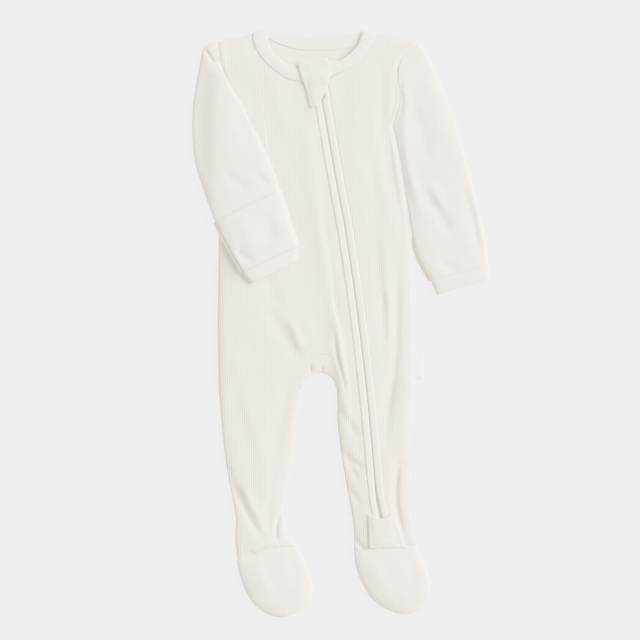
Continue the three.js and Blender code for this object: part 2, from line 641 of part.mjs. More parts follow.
function buildSleeve(side, rows, armhole, level, mirrored) {
  const sections = sleeveSections(rows, armhole, level);
  const seam = 1 + rows.findIndex((row) => row.cuffSeam);
  const mouth = 1 + rows.findIndex((row) => row.mittenMouth);
  const facing = (grid) => (mirrored ? grid.map((line) => line.slice().reverse()) : grid);
  const sleeveEnd = between(sections[seam], sections[seam - 1], CUFF_GAP);
  const body = [...sections.slice(0, seam), sleeveEnd].map((section) => ringOf(section, SLEEVE_LOFT, KNIT));
  add(`sleeve_${side}`, cloth([facing(body.map(({ ring }) => ring))], KNIT), COLOURS.knit);

  const cuffStart = between(sections[seam], sections[seam + 1], CUFF_GAP);
  const cuffLoft = SLEEVE_LOFT - (BINDING - KNIT);
  const cuffRows = [cuffStart, between(sections[seam], sections[seam + 1], CUFF_MIDDLE), sections[seam + 1]]
    .map((section, i) => ringOf(section, cuffLoft * (1 - CUFF_THINNING * i), BINDING));
  add(`cuff_${side}`, cloth([facing(cuffRows.map(({ ring }) => ring))], BINDING), COLOURS.rib);

  const layer = side === "left" ? "upper" : "lower";
  const step = (KNIT + SEAM) * (side === "left" ? 1 : -1);
  const mitten = body.slice(mouth).map((section) => section[layer].map(([x, y, z]) => [x, y, z + step]));
  return { mitten, facing };
}

/** How far the left sleeve is held up: by the body where it lies on it, and not at all outside. */
function leftSleeveRest(x, y) {
  const edge = bodyLeftEdge(whereAt(bodyLeftEdge, 1, y))[0];
  const onBody = clamp((x - edge + SLEEVE_DROP_START + SLEEVE_DROP_RUN) / SLEEVE_DROP_RUN, 0, 1);
  const pastShoulder = clamp((SHOULDER_Y - y) / SHOULDER_RUN, 0, 1);
  const top = frontLevel(Math.max(x, edge) + SLEEVE_DROP_START, y) + KNIT / 2 + SLEEVE_LIFT;
  return top * THREE.MathUtils.smoothstep(onBody, 0, 1) * pastShoulder;
}

/** How far the right sleeve is held up: by the mitten that is folded under its end. */
function rightSleeveRest(x, y) {
  const [a, b] = [SLEEVE_RIGHT[5], SLEEVE_RIGHT[6]];
  const along = (p) => (p[1] - y) - (p[0] - x) * (a.outer[1] - a.inner[1]) / (a.outer[0] - a.inner[0]);
  const t = clamp(along(a.inner) / (along(a.inner) - along(b.inner)), 0, 1);
  return (KNIT + SEAM) * t;
}

function buildSleeves() {
  const left = buildSleeve("left", SLEEVE_LEFT, beside(through(ARMHOLE_LEFT), -ARMHOLE_SEAM), leftSleeveRest, true);
  add("mitten_left", cloth([left.facing(left.mitten)], KNIT), COLOURS.knit);

  const right = buildSleeve("right", SLEEVE_RIGHT, beside(through(ARMHOLE_RIGHT), ARMHOLE_SEAM), rightSleeveRest, false);
  const peeking = right.mitten.map((line, row) => {
    const [end, next] = [line[SLEEVE_STEPS], line[SLEEVE_STEPS - 1]];
    const peek = SLEEVE_EDGE_INSET + (row === 0 ? 0 : MITTEN_PEEK);
    const reach = peek / Math.hypot(end[0] - next[0], end[1] - next[1]);
    return [...line, [end[0] + (end[0] - next[0]) * reach, end[1] + (end[1] - next[1]) * reach]];
  }).map((line) => line.map(([x, y]) => [x, y, KNIT / 2]));
  add("mitten_right", cloth([peeking], KNIT), COLOURS.knit);
}

// ---- feet and label ------------------------------------------------------------------------------

function buildFeet() {
  for (const [side, { ankle, outer, inner, toe }] of Object.entries(FEET)) {
    const seam = beside(through(ankle), -SEAM / 2);
    const grid = patch({
      top: seam, bottom: through(toe), left: through([seam(0), ...outer.slice(1)]),
      right: through([seam(1), ...inner.slice(1)]), columns: GRID.leg, rows: GRID.foot,
    });
    const topLevel = (x, y) => frontLevel(x, y)
      + FOOT_FULLNESS * clamp((ankle[0][1] - y) / FOOT_RUN, 0, 1) * rounded(distanceToEdge(x, y) / FULLNESS_RUN);
    add(`foot_top_${side}`, cloth([lifted(grid, topLevel)], KNIT), COLOURS.knit);
    add(`foot_sole_${side}`, cloth([lifted(grid, () => KNIT / 2)], KNIT), COLOURS.knit);
  }
}

/** A bare label caught in the right side seam. */
function buildLabel() {
  const seamX = bodyRightEdge(1)[0];
  const label = new THREE.BoxGeometry(LABEL.reach, LABEL.length, TAPE);
  const level = KNIT + SEAM / 2;
  add("side_label", label, COLOURS.label).position.set(seamX + 2 * SEAM + LABEL.reach / 2, LABEL.y, level);
}

buildBack();
buildFrontLeft();
buildFrontRight();
buildGusset();
buildNeckBinding();
buildZip();
buildGuards();
buildSleeves();
buildFeet();
buildLabel();

// The origin is the middle of the suit's box, on the surface it lies on.
const box = new THREE.Box3().setFromObject(suit);
const centre = box.getCenter(new THREE.Vector3());
suit.position.set(-centre.x, -centre.y, 0);
suit.updateMatrixWorld(true);

export default suit;
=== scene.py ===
"""A footed baby sleepsuit in ivory rib knit, laid flat: its cloth, zip, stitching and stage."""
import math

import bpy
import numpy as np
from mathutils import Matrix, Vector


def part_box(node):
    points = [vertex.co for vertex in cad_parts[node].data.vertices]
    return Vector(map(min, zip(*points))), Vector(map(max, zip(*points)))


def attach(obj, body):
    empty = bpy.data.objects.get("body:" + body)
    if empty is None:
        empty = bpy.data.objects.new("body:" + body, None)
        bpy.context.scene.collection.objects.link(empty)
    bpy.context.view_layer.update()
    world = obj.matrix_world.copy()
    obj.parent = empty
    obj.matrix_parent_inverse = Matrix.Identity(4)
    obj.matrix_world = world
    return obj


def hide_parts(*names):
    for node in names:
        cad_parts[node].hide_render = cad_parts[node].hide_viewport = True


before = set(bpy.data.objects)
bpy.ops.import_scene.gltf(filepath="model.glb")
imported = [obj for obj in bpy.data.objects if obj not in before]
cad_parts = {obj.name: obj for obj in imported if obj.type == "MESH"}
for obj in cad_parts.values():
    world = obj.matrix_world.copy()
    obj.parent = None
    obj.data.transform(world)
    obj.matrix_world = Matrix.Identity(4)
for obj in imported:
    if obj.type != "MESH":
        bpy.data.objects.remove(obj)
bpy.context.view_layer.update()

bl_info = {
    "name": "Footed sleepsuit",
    "version": (1, 0, 0),
    "blender": (4, 5, 0),
    "location": "View3D > Sidebar > Sleepsuit",
    "description": "Builds the cloth, zip and stitching of a footed baby sleepsuit laid flat",
    "category": "Object",
}

MM = 0.001

# ---- cutting outlines: points along each edge in millimetres, x to the right and y to the neck --------

SHOULDER_LEFT = [(-122, 281), (-115, 282.5), (-100, 285.5), (-86.5, 289)]
SHOULDER_RIGHT = [(35.5, 288), (44, 288), (59, 285), (78, 279.5)]
ARMHOLE_LEFT = [(-122, 281), (-120.3, 265.5), (-115.3, 246)]
ARMHOLE_RIGHT = [(78, 279.5), (61.6, 264), (58, 248), (60, 223), (52.8, 196)]
CROTCH_Y = -65
SIDE_LEFT = [(-115.3, 246), (-119.5, 215), (-121.5, 185), (-121.2, 83), (-122, -20), (-121, CROTCH_Y)]
SIDE_RIGHT = [
    (52.8, 196), (52.9, 182), (59.8, 150), (66.5, 112), (71, 73), (71.5, 23), (73, -20), (73, CROTCH_Y),
]
LEG_LEFT_OUTER = [(-121, CROTCH_Y), (-117, -113), (-113, -145), (-104, -195), (-104.5, -215), (-102.5, -235)]
LEG_LEFT_INNER = [
    (-40.1, CROTCH_Y), (-41, -81), (-45, -101), (-47.5, -130), (-54, -167), (-57.5, -185), (-52.5, -211),
    (-43, -223.5),
]
LEG_RIGHT_INNER = [
    (-1.4, CROTCH_Y), (-2.4, -81), (-2, -102), (1, -127), (8.5, -172), (14, -205), (14.5, -229),
]
LEG_RIGHT_OUTER = [(73, CROTCH_Y), (70, -117), (70, -155), (69.5, -177), (75.5, -222.5)]
NECK_SEAM_LEFT = [
    (-86.5, 289), (-87, 282), (-82, 271), (-74, 260), (-64.5, 252), (-54, 245), (-38, 241), (-22.8, 240),
]
NECK_FREE_LEFT = [
    (-73.5, 292), (-72.5, 284), (-69, 272), (-61, 264), (-52.5, 258), (-43, 257.5), (-25.4, 257),
]
NECK_SEAM_RIGHT = [(-19.4, 240.5), (-9, 246.5), (5, 253), (15, 259), (25.5, 270), (32, 280), (35.5, 288)]
NECK_FREE_RIGHT = [(-22, 257.5), (-12, 261.4), (-2, 261.4), (9, 268), (19, 279), (22.2, 290.5)]
NECK_SEAM_BACK = [
    (-86.5, 289), (-72, 284.5), (-61, 279), (-45, 274), (-20, 272), (12, 275.5), (26, 281), (35.5, 288),
]
NECK_FREE_BACK = [(-73.5, 292), (-50, 288), (-30, 286.5), (-10, 287), (7, 288.5), (22.2, 290.5)]
CROTCH_ARCH = [(-38.3, CROTCH_Y), (-34.5, -57), (-24, -50), (-14, -50.5), (-7, -56), (-3.2, CROTCH_Y)]
GUSSET_TOP = [
    (-39.8, CROTCH_Y), (-39, -46), (-33, -36), (-20, -31.5), (-8, -35), (-2, -46), (-1.7, CROTCH_Y),
]
ZIP_LINE = [
    (-21.2, 241), (-12.4, 189), (-2.5, 133), (3.3, 103), (10.4, 58), (20.3, -15), (28, -84), (33.8, -147),
    (36.3, -172), (45.8, -222),
]
ANKLE_LEFT = [(-102.5, -235), (-92, -233), (-79, -227.5), (-61, -224), (-43, -223.5)]
ANKLE_RIGHT = [(14.5, -229), (26, -225.5), (44, -223), (64, -222), (75.5, -222.5)]
FEET = {
    "left": {
        "ankle": ANKLE_LEFT,
        "outer": [(-102.5, -235), (-102, -243), (-97, -261), (-88, -278), (-77, -288)],
        "inner": [(-43, -223.5), (-36, -237), (-30, -253), (-27.5, -266), (-31, -278), (-42, -288.5)],
        "toe": [(-77, -288), (-65, -293), (-54, -293), (-42, -288.5)],
    },
    "right": {
        "ankle": ANKLE_RIGHT,
        "outer": [(14.5, -229), (16, -243), (22, -259), (31, -274), (43, -284)],
        "inner": [(75.5, -222.5), (83, -239), (89, -255), (90, -267), (86, -278), (77, -287)],
        "toe": [(43, -284), (56, -289.5), (68, -290.5), (77, -287)],
    },
}
CHIN_GUARD = {
    "top": [(-42.5, 260), (-28, 262.5), (-13.5, 264.5)],
    "left": [(-42.5, 260), (-38.5, 245), (-34, 234), (-29.6, 216.2)],
    "right": [(-13.5, 264.5), (-10, 251), (-13.2, 236), (-18.3, 225), (-25.8, 216.6)],
    "bottom": [(-29.6, 216.2), (-27.8, 214.9), (-25.8, 216.6)],
}
ANKLE_GUARD = {
    "top": [(28, -191), (43, -195.5), (52.5, -190)],
    "left": [(28, -191), (29.5, -224.2)],
    "right": [(52.5, -190), (65.4, -224)],
    "bottom": [(29.5, -224.2), (45, -224.4), (65.4, -224)],
}

# ---- sleeves: the two folded edges at each section, from the armhole to the hem -----------------------

SLEEVES = {
    "left": {
        "armhole": ARMHOLE_LEFT,
        "outer": [
            (-135.5, 276), (-140.5, 257), (-144.5, 236), (-147.5, 211), (-147.5, 185), (-144.5, 158),
            (-136, 131), (-124.5, 100.5), (-111.5, 76), (-97, 50.5), (-87.5, 40),
        ],
        "inner": [
            (-112, 241), (-107, 232), (-99, 220), (-90, 201), (-80, 182), (-70, 161), (-63.5, 146),
            (-60.5, 132), (-52.5, 106), (-43.2, 76), (-43.5, 63),
        ],
        "mouth": 8, "seam": 10, "bow": [0.4, 0, 0],
    },
    "right": {
        "armhole": ARMHOLE_RIGHT,
        "outer": [
            (91, 261), (101, 239), (112, 212), (119.5, 187), (126.5, 160), (134, 133), (140.5, 106),
            (145.5, 80), (148, 57.5), (148.5, 44.5),
        ],
        "inner": [
            (55.2, 188), (57.2, 176), (60.2, 162), (62.3, 148), (64.8, 131), (67.8, 113), (71.5, 90),
            (79, 64), (91, 42), (97, 28.5),
        ],
        "mouth": 7, "seam": 9, "bow": [1.25, 0.75, 0.2],
    },
}

# ---- creases: path, height, and how far each slope reaches to the left and right of the path ---------

BODY_CREASES = [
    # the fold beside the zip, which runs from the chest into the leg
    ([(-34, 212), (-27, 150), (-18, 90), (-8, 30), (-4, 2)], 1.1, 6.0, 10.0),
    ([(-10, 25), (-2, -8), (2, -34), (6, -58), (7.5, -84), (8, -110)], 1.9, 2.2, 8.0),
    ([(-20, 123), (-12, 75), (-5, 27), (-2, -7)], -0.8, 3.0, 3.0),
    # the diagonal fold that runs down to the crotch
    ([(-72, 14), (-58, -8), (-45, -28), (-34, -36)], -1.1, 6.0, 7.0),
    ([(-52, 6), (-44, -12), (-37, -29)], 1.0, 4.0, 4.0),
    ([(-78, 60), (-70, 34), (-60, 14)], -0.6, 7.0, 7.0),
    ([(-6, -4), (-3.5, -32), (2, -52), (5.5, -68), (6, -86)], -1.5, 2.6, 1.5),
    # where the sleeve lies beside the body and shades it
    ([(62, 270), (55, 246), (55, 222), (47, 194)], -0.9, 3.0, 3.0),
    ([(48, 196), (50, 168), (56, 130), (62, 98)], -1.2, 3.0, 8.0),
    # left leg
    ([(-50, -50), (-55, -78), (-62, -110), (-66, -140)], -1.2, 7.0, 10.0),
    ([(-108, -50), (-101, -90), (-90, -128), (-82, -160)], -0.65, 7.0, 9.0),
    ([(-96, -60), (-86, -100), (-76, -140), (-72, -175)], 0.4, 9.0, 9.0),
    ([(-113, -138), (-108, -160), (-100, -180)], -1.1, 3.0, 4.0),
    ([(-105, -158), (-95, -185), (-82, -208), (-74, -216)], -1.3, 3.5, 4.0),
    ([(-98, -158), (-88, -182), (-76, -202)], 0.8, 4.0, 4.0),
    ([(-59, -190), (-63, -203), (-62.5, -220)], -1.7, 1.6, 2.6),
    ([(-71, -176), (-72, -196), (-70, -212)], -0.8, 4.0, 4.0),
    # right of the zip
    ([(28, 190), (36, 120), (40, 60), (44, -10)], -0.7, 8.0, 7.0),
    ([(42, 34), (43.5, 0), (43, -26)], -1.0, 4.0, 4.0),
    ([(36, 120), (47, 40), (52, -20), (50, -70)], 0.9, 6.0, 5.0),
    ([(57, 60), (56, 10), (54, -46), (48, -86), (45, -130)], -2.1, 5.0, 7.5),
    ([(69, -40), (64, -90), (60, -140)], 0.7, 5.0, 5.0),
    ([(59, -132), (56, -175), (60, -200), (66, -219)], -1.7, 3.0, 4.5),
    # inside of the right leg
    ([(0, -86), (9, -101), (18, -114)], -1.1, 4.0, 4.0),
    ([(3, -129), (13, -138), (24, -147)], -1.1, 3.0, 3.5),
    ([(4, -132), (12, -146), (19, -159)], -1.0, 3.0, 3.0),
    ([(8, -165), (15, -174), (20, -184)], -0.9, 3.0, 3.0),
    ([(14, -214), (19, -220), (25, -226)], -1.8, 1.5, 2.2),
    # puckers where the legs part
    ([(-29.5, -40), (-29.3, -50)], -1.3, 0.7, 0.7),
    ([(-18.3, -43), (-17.8, -52)], -1.3, 0.7, 0.7),
    ([(-24, -38), (-24, -49)], 0.6, 3.0, 3.0),
    # chest, beside the sleeves
    ([(-104, 215), (-70, 150), (-46, 92), (-34, 40)], -0.6, 9.0, 9.0),
    ([(46, 258), (42, 220), (44, 170), (52, 120)], -0.9, 6.0, 5.0),
    ([(20, 240), (14, 190), (20, 130)], 0.5, 9.0, 9.0),
    ([(-70, 250), (-60, 215), (-48, 185)], 0.5, 9.0, 9.0),
    # feet
    ([(-98, -234), (-90, -230), (-84, -231)], -1.2, 2.0, 2.0),
    ([(-84, -236), (-78, -255), (-72, -272)], 0.7, 7.0, 7.0),
    ([(-52, -234), (-46, -250), (-44, -266)], -0.5, 5.0, 5.0),
    ([(30, -234), (38, -252), (46, -268)], 0.6, 7.0, 7.0),
    ([(66, -232), (72, -250), (75, -266)], -0.6, 5.0, 6.0),
]
SLEEVE_CREASES = [
    ([(-136, 275), (-131, 268), (-125, 259.5)], -2.6, 1.6, 1.6),
    ([(-139, 218), (-138, 192), (-135, 164), (-128, 138)], -0.35, 6.0, 7.0),
    ([(-126, 240), (-118, 205), (-112, 165)], 0.35, 11.0, 11.0),
    ([(-116, 150), (-103, 141), (-92, 133)], -0.9, 5.0, 5.0),
    ([(-82, 158), (-74, 148), (-66, 139)], 0.5, 3.5, 3.5),
    ([(-88, 152), (-78, 143), (-70, 136)], -0.5, 3.5, 3.5),
    ([(-110, 225), (-98, 200), (-88, 176)], -0.35, 7.0, 8.0),
    ([(84, 133), (98, 112), (112, 86)], -1.4, 5.0, 6.0),
    ([(88, 141), (97, 126), (104, 112)], 1.1, 5.0, 5.0),
    ([(122, 137), (131, 108), (139, 70)], -1.3, 4.0, 6.0),
    ([(72, 222), (82, 190), (88, 158)], -0.8, 6.0, 7.0),
    ([(64, 252), (66, 222), (64, 186), (72, 140), (80, 108)], 0.9, 5.0, 4.0),
    ([(84, 254), (98, 214), (106, 170)], 0.8, 9.0, 9.0),
    ([(70, 150), (78, 128), (84, 100)], 0.7, 5.0, 5.0),
    ([(97, 62), (108, 56), (120, 54)], -0.8, 4.0, 4.0),
    ([(-104, 74), (-96, 66), (-84, 62)], -1.2, 4.0, 5.0),
    ([(-124, 104), (-108, 112), (-90, 119), (-64, 132)], -0.8, 2.2, 5.0),
    ([(-78, 112), (-70, 92), (-68, 76)], -1.1, 6.0, 7.0),
    ([(-102, 108), (-92, 88), (-86, 70)], 0.8, 7.0, 7.0),
]


# ---- sizes and colours that a user would change -------------------------------------------------------

def linear(hex_colour):
    """An sRGB hex colour as linear red, green, blue and alpha."""
    value = hex_colour.lstrip("#")
    channels = [int(value[i:i + 2], 16) / 255 for i in (0, 2, 4)]
    return tuple(c / 12.92 if c <= 0.04045 else ((c + 0.055) / 1.055) ** 2.4 for c in channels) + (1.0,)


def length(name, description, default):
    return bpy.props.FloatProperty(
        name=name, description=description, default=default, min=0.0, precision=5, unit="LENGTH")


def colour(name, description, default):
    return bpy.props.FloatVectorProperty(
        name=name, description=description, default=linear(default), size=4, min=0, max=1, subtype="COLOR")


class SleepsuitSizes(bpy.types.PropertyGroup):
    rib_pitch: length("Rib pitch", "Distance from one rib to the next", 2.2 * MM)
    rib_depth: length("Rib depth", "Depth of the valley between two ribs", 0.27 * MM)
    smooth_depth: length("Smooth rib depth", "The same where the knit lies smooth", 0.12 * MM)
    fullness: length("Fullness", "How much higher the front lies away from its edges", 2.9 * MM)
    stitch: length("Stitch", "Length of one stitch", 2.3 * MM)
    stitch_pitch: length("Stitch pitch", "Distance from one stitch to the next", 2.9 * MM)
    stitch_width: length("Stitch width", "Width of the sewing thread as it lies", 0.55 * MM)
    coil_pitch: length("Coil pitch", "Distance between the turns of the zip's coil", 1.3 * MM)
    coil_turn: length("Coil turn", "Length of one turn of the coil along the zip", 0.9 * MM)
    coil_width: length("Coil width", "Width of the coil across the zip", 4.2 * MM)
    coil_height: length("Coil height", "Height of the coil above the tape", 0.42 * MM)
    mesh_step: length("Mesh step", "Distance between points in the finest cloth", 2.1 * MM)


class SleepsuitColours(bpy.types.PropertyGroup):
    knit: colour("Knit", "Top of a rib", "#EBDFC8")
    # painted shade: the tan that stands in for the shade in each valley between two ribs
    valley_shade: colour("Valley", "Between two ribs", "#CBB995")
    thread: colour("Thread", "Sewing thread", "#F6F0E4")
    # The tape's tan is partly its own colour and partly painted shade, for the narrow gap between the zip's
    # bindings where it shows.
    tape: colour("Tape", "Zip tape", "#C4B496")
    coil: colour("Coil", "Zip coil", "#E2D8C5")
    slider: colour("Slider", "Painted zip slider", "#DDD6CC")
    label: colour("Label", "Satin label", "#F4F3F0")
    floor: colour("Floor", "The surface that the suit lies on", "#F1F0F1")


def sizes():
    return bpy.context.scene.sleepsuit_sizes


def colours():
    return bpy.context.scene.sleepsuit_colours


# ---- lines across the cloth ---------------------------------------------------------------------------

def spline(points, k):
    """Points on a smooth curve through a few given ones, at places k counted in given points."""
    p = np.asarray(points, float)
    k = np.clip(np.asarray(k, float), 0, len(p) - 1)
    p = np.vstack([2 * p[0] - p[1], p, 2 * p[-1] - p[-2]])
    i = np.minimum(k.astype(int), len(p) - 4)
    w = (k - i)[..., None]
    a, b, c, d = (p[i + n] for n in range(4))
    dt = [np.maximum(np.linalg.norm(v - u, axis=-1, keepdims=True), 1e-6) ** 0.5
          for u, v in ((a, b), (b, c), (c, d))]
    m1 = ((b - a) / dt[0] - (c - a) / (dt[0] + dt[1]) + (c - b) / dt[1]) * dt[1]
    m2 = ((c - b) / dt[1] - (d - b) / (dt[1] + dt[2]) + (d - c) / dt[2]) * dt[1]
    return ((2 * w ** 3 - 3 * w ** 2 + 1) * b + (w ** 3 - 2 * w ** 2 + w) * m1
            + (3 * w ** 2 - 2 * w ** 3) * c + (w ** 3 - w ** 2) * m2)


class Line:
    """A path of [x, y] points, read by the share of its length."""

    def __init__(self, points):
        self.points = np.asarray(points, float)
        steps = np.linalg.norm(np.diff(self.points, axis=0), axis=1)
        self.run = np.concatenate([[0], np.cumsum(steps)])
        self.length = self.run[-1]

    def __call__(self, t):
        at = np.clip(t, 0, 1) * self.length
        return np.stack([np.interp(at, self.run, self.points[:, k]) for k in (0, 1)], axis=-1)


def through(points):
    return Line(spline(points, np.linspace(0, len(points) - 1, 30 * (len(points) - 1) + 1)))


def part(line, start, end):
    return Line(line(np.linspace(start, end, 400)))


def chain(first, second):
    return Line(np.vstack([first.points, second.points[1:]]))


def beside(line, distance):
    """The line moved sideways: a positive distance is to the left of the way it runs."""
    t = np.linspace(0, 1, 400)
    points = line(t)
    run = line(t + 2e-3) - line(t - 2e-3)
    run /= np.linalg.norm(run, axis=1, keepdims=True)
    return Line(points + np.stack([-run[:, 1], run[:, 0]], axis=1) * distance)


def where_at(line, axis, value):
    t = np.linspace(0, 1, 4001)
    along = line(t)[:, axis]
    order = np.argsort(along, kind="stable")
    return float(np.interp(value, along[order], t[order]))


def patch(top, bottom, left, right, columns, rows):
    """A grid of [x, y] that fills four lines: top and bottom run to the right, left and right run down."""
    u = np.linspace(0, 1, columns + 1)[None, :, None]
    v = np.linspace(0, 1, rows + 1)[:, None, None]
    t, b = top(u[0, :, 0])[None], bottom(u[0, :, 0])[None]
    l, r = left(v[:, 0, 0])[:, None], right(v[:, 0, 0])[:, None]
    corners = ((1 - u) * (1 - v) * t[:, :1] + u * (1 - v) * t[:, -1:]
               + (1 - u) * v * b[:, :1] + u * v * b[:, -1:])
    return (1 - v) * t + v * b + (1 - u) * l + u * r - corners


def nearest(line, xy):
    """Distance to a line, which side of it (1 is left), and how far along the nearest place is."""
    flat = xy.reshape(-1, 2)
    a, b = line.points[:-1], line.points[1:]
    run = b - a
    square = np.maximum((run ** 2).sum(1), 1e-9)
    best = np.full(len(flat), np.inf)
    side = np.ones(len(flat))
    along = np.zeros(len(flat))
    for start in range(0, len(flat), 4000):
        p = flat[start:start + 4000, None, :] - a[None]
        t = np.clip((p * run).sum(2) / square, 0, 1)
        off = p - t[..., None] * run
        distance = np.hypot(off[..., 0], off[..., 1])
        i = distance.argmin(1)
        j = np.arange(len(i))
        best[start:start + 4000] = distance[j, i]
        cross = run[i, 0] * p[j, i, 1] - run[i, 1] * p[j, i, 0]
        side[start:start + 4000] = np.where(cross >= 0, 1, -1)
        along[start:start + 4000] = (line.run[i] + t[j, i] * np.sqrt(square[i])) / line.length
    shape = xy.shape[:-1]
    return best.reshape(shape), side.reshape(shape), along.reshape(shape)


# ---- how the cloth lies -------------------------------------------------------------------------------

SEAM = 0.3
KNIT = 1.2
BINDING = 1.8
TAPE = 1.0
EDGE_LEVEL = KNIT + SEAM + KNIT / 2
FULLNESS_RUN = 24
SLEEVE_LOFT = 2.6
MITTEN_REACH = 3.0
CREASE_DEPTH = 1.35


def rounded(t):
    """A rise from 0 to 1 that leaves steeply and arrives level, as cloth does over a rounded edge."""
    return np.sqrt(1 - (1 - np.clip(t, 0, 1)) ** 2)


def eased(t):
    t = np.clip(t, 0, 1)
    return t * t * (3 - 2 * t)


def coarse(points, steps=6):
    return Line(spline(points, np.linspace(0, len(points) - 1, steps * (len(points) - 1) + 1)))


BODY_EDGES = [coarse(points) for points in (
    SHOULDER_LEFT, SHOULDER_RIGHT, SIDE_LEFT, SIDE_RIGHT, LEG_LEFT_OUTER, LEG_LEFT_INNER, LEG_RIGHT_INNER,
    LEG_RIGHT_OUTER, CROTCH_ARCH, FEET["left"]["outer"], FEET["left"]["inner"], FEET["left"]["toe"],
    FEET["right"]["outer"], FEET["right"]["inner"], FEET["right"]["toe"])]
SEAM_LINES = [coarse(points) for points in (
    ANKLE_LEFT, ANKLE_RIGHT, ARMHOLE_RIGHT, ARMHOLE_LEFT)]
NECK_SEAMS = [coarse(points) for points in (NECK_SEAM_LEFT, NECK_SEAM_RIGHT)]


def edge_distance(xy):
    return np.min([nearest(line, xy)[0] for line in BODY_EDGES], axis=0)


def crease_height(xy, creases):
    """Soft troughs and ridges, each fading out towards its two ends."""
    total = np.zeros(xy.shape[:-1])
    for path, height, left, right in creases:
        distance, side, along = nearest(coarse(path), xy)
        reach = np.where(side > 0, left, right)
        taper = eased(np.minimum(along, 1 - along) / 0.3 + 0.12)
        total += CREASE_DEPTH * height * taper * np.exp(-(distance / reach) ** 2)
    return total


def unevenness(xy, wave, phase):
    """The slight waviness of cloth that has been smoothed by hand."""
    x, y = xy[..., 0] / wave, xy[..., 1] / wave
    turns = ((1.0, 0.35, 0.0), (-0.55, 1.1, 1.7), (1.7, -0.6, 3.1),
             (0.4, 1.9, 4.4), (2.3, 1.2, 0.9), (-1.4, 2.2, 2.6))
    return sum(np.sin(2 * math.pi * (a * x + b * y) + c + phase) / (1 + i * 0.5)
               for i, (a, b, c) in enumerate(turns)) / 3


def seam_dip(xy):
    """The groove along each seam, the soft roll beside it, and the rows of stitching below the neck."""
    distance = np.min([nearest(line, xy)[0] for line in SEAM_LINES], axis=0)
    neck = np.min([nearest(line, xy)[0] for line in NECK_SEAMS], axis=0)
    sewn = -0.40 * np.exp(-(neck / 1.6) ** 2)
    sewn = sewn + sum(-0.25 * np.exp(-((neck - row) / 0.9) ** 2) for row in (1.8, 4.6))
    return -0.75 * np.exp(-(distance / 1.7) ** 2) + 0.3 * np.exp(-((distance - 4.0) / 2.2) ** 2) + sewn


def body_level(xy, creased=True):
    """Height of the middle of the front layer above the surface."""
    from_edge = edge_distance(xy)
    height = sizes().fullness / MM * rounded(from_edge / FULLNESS_RUN)
    if creased:
        height = height + crease_height(xy, BODY_CREASES)
        height = height + 0.22 * unevenness(xy, 46, 0.4) * eased(from_edge / 12)
        height = height + 0.10 * unevenness(xy, 15, 2.0) * eased(from_edge / 8) + seam_dip(xy)
    return EDGE_LEVEL + np.maximum(height, -0.15)


def zip_level(xy):
    """Height of the middle of the bindings beside the zip."""
    return body_level(xy, creased=False) + (BINDING - KNIT) / 2 + 0.12 * unevenness(xy, 30, 1.0)


# ---- meshes -------------------------------------------------------------------------------------------

LABEL = {"low": (73.6, -55.5), "size": (9.5, 24.0)}
SHIFT = np.array([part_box("side_label")[0][k] / MM - LABEL["low"][k] for k in (0, 1)] + [0.0])


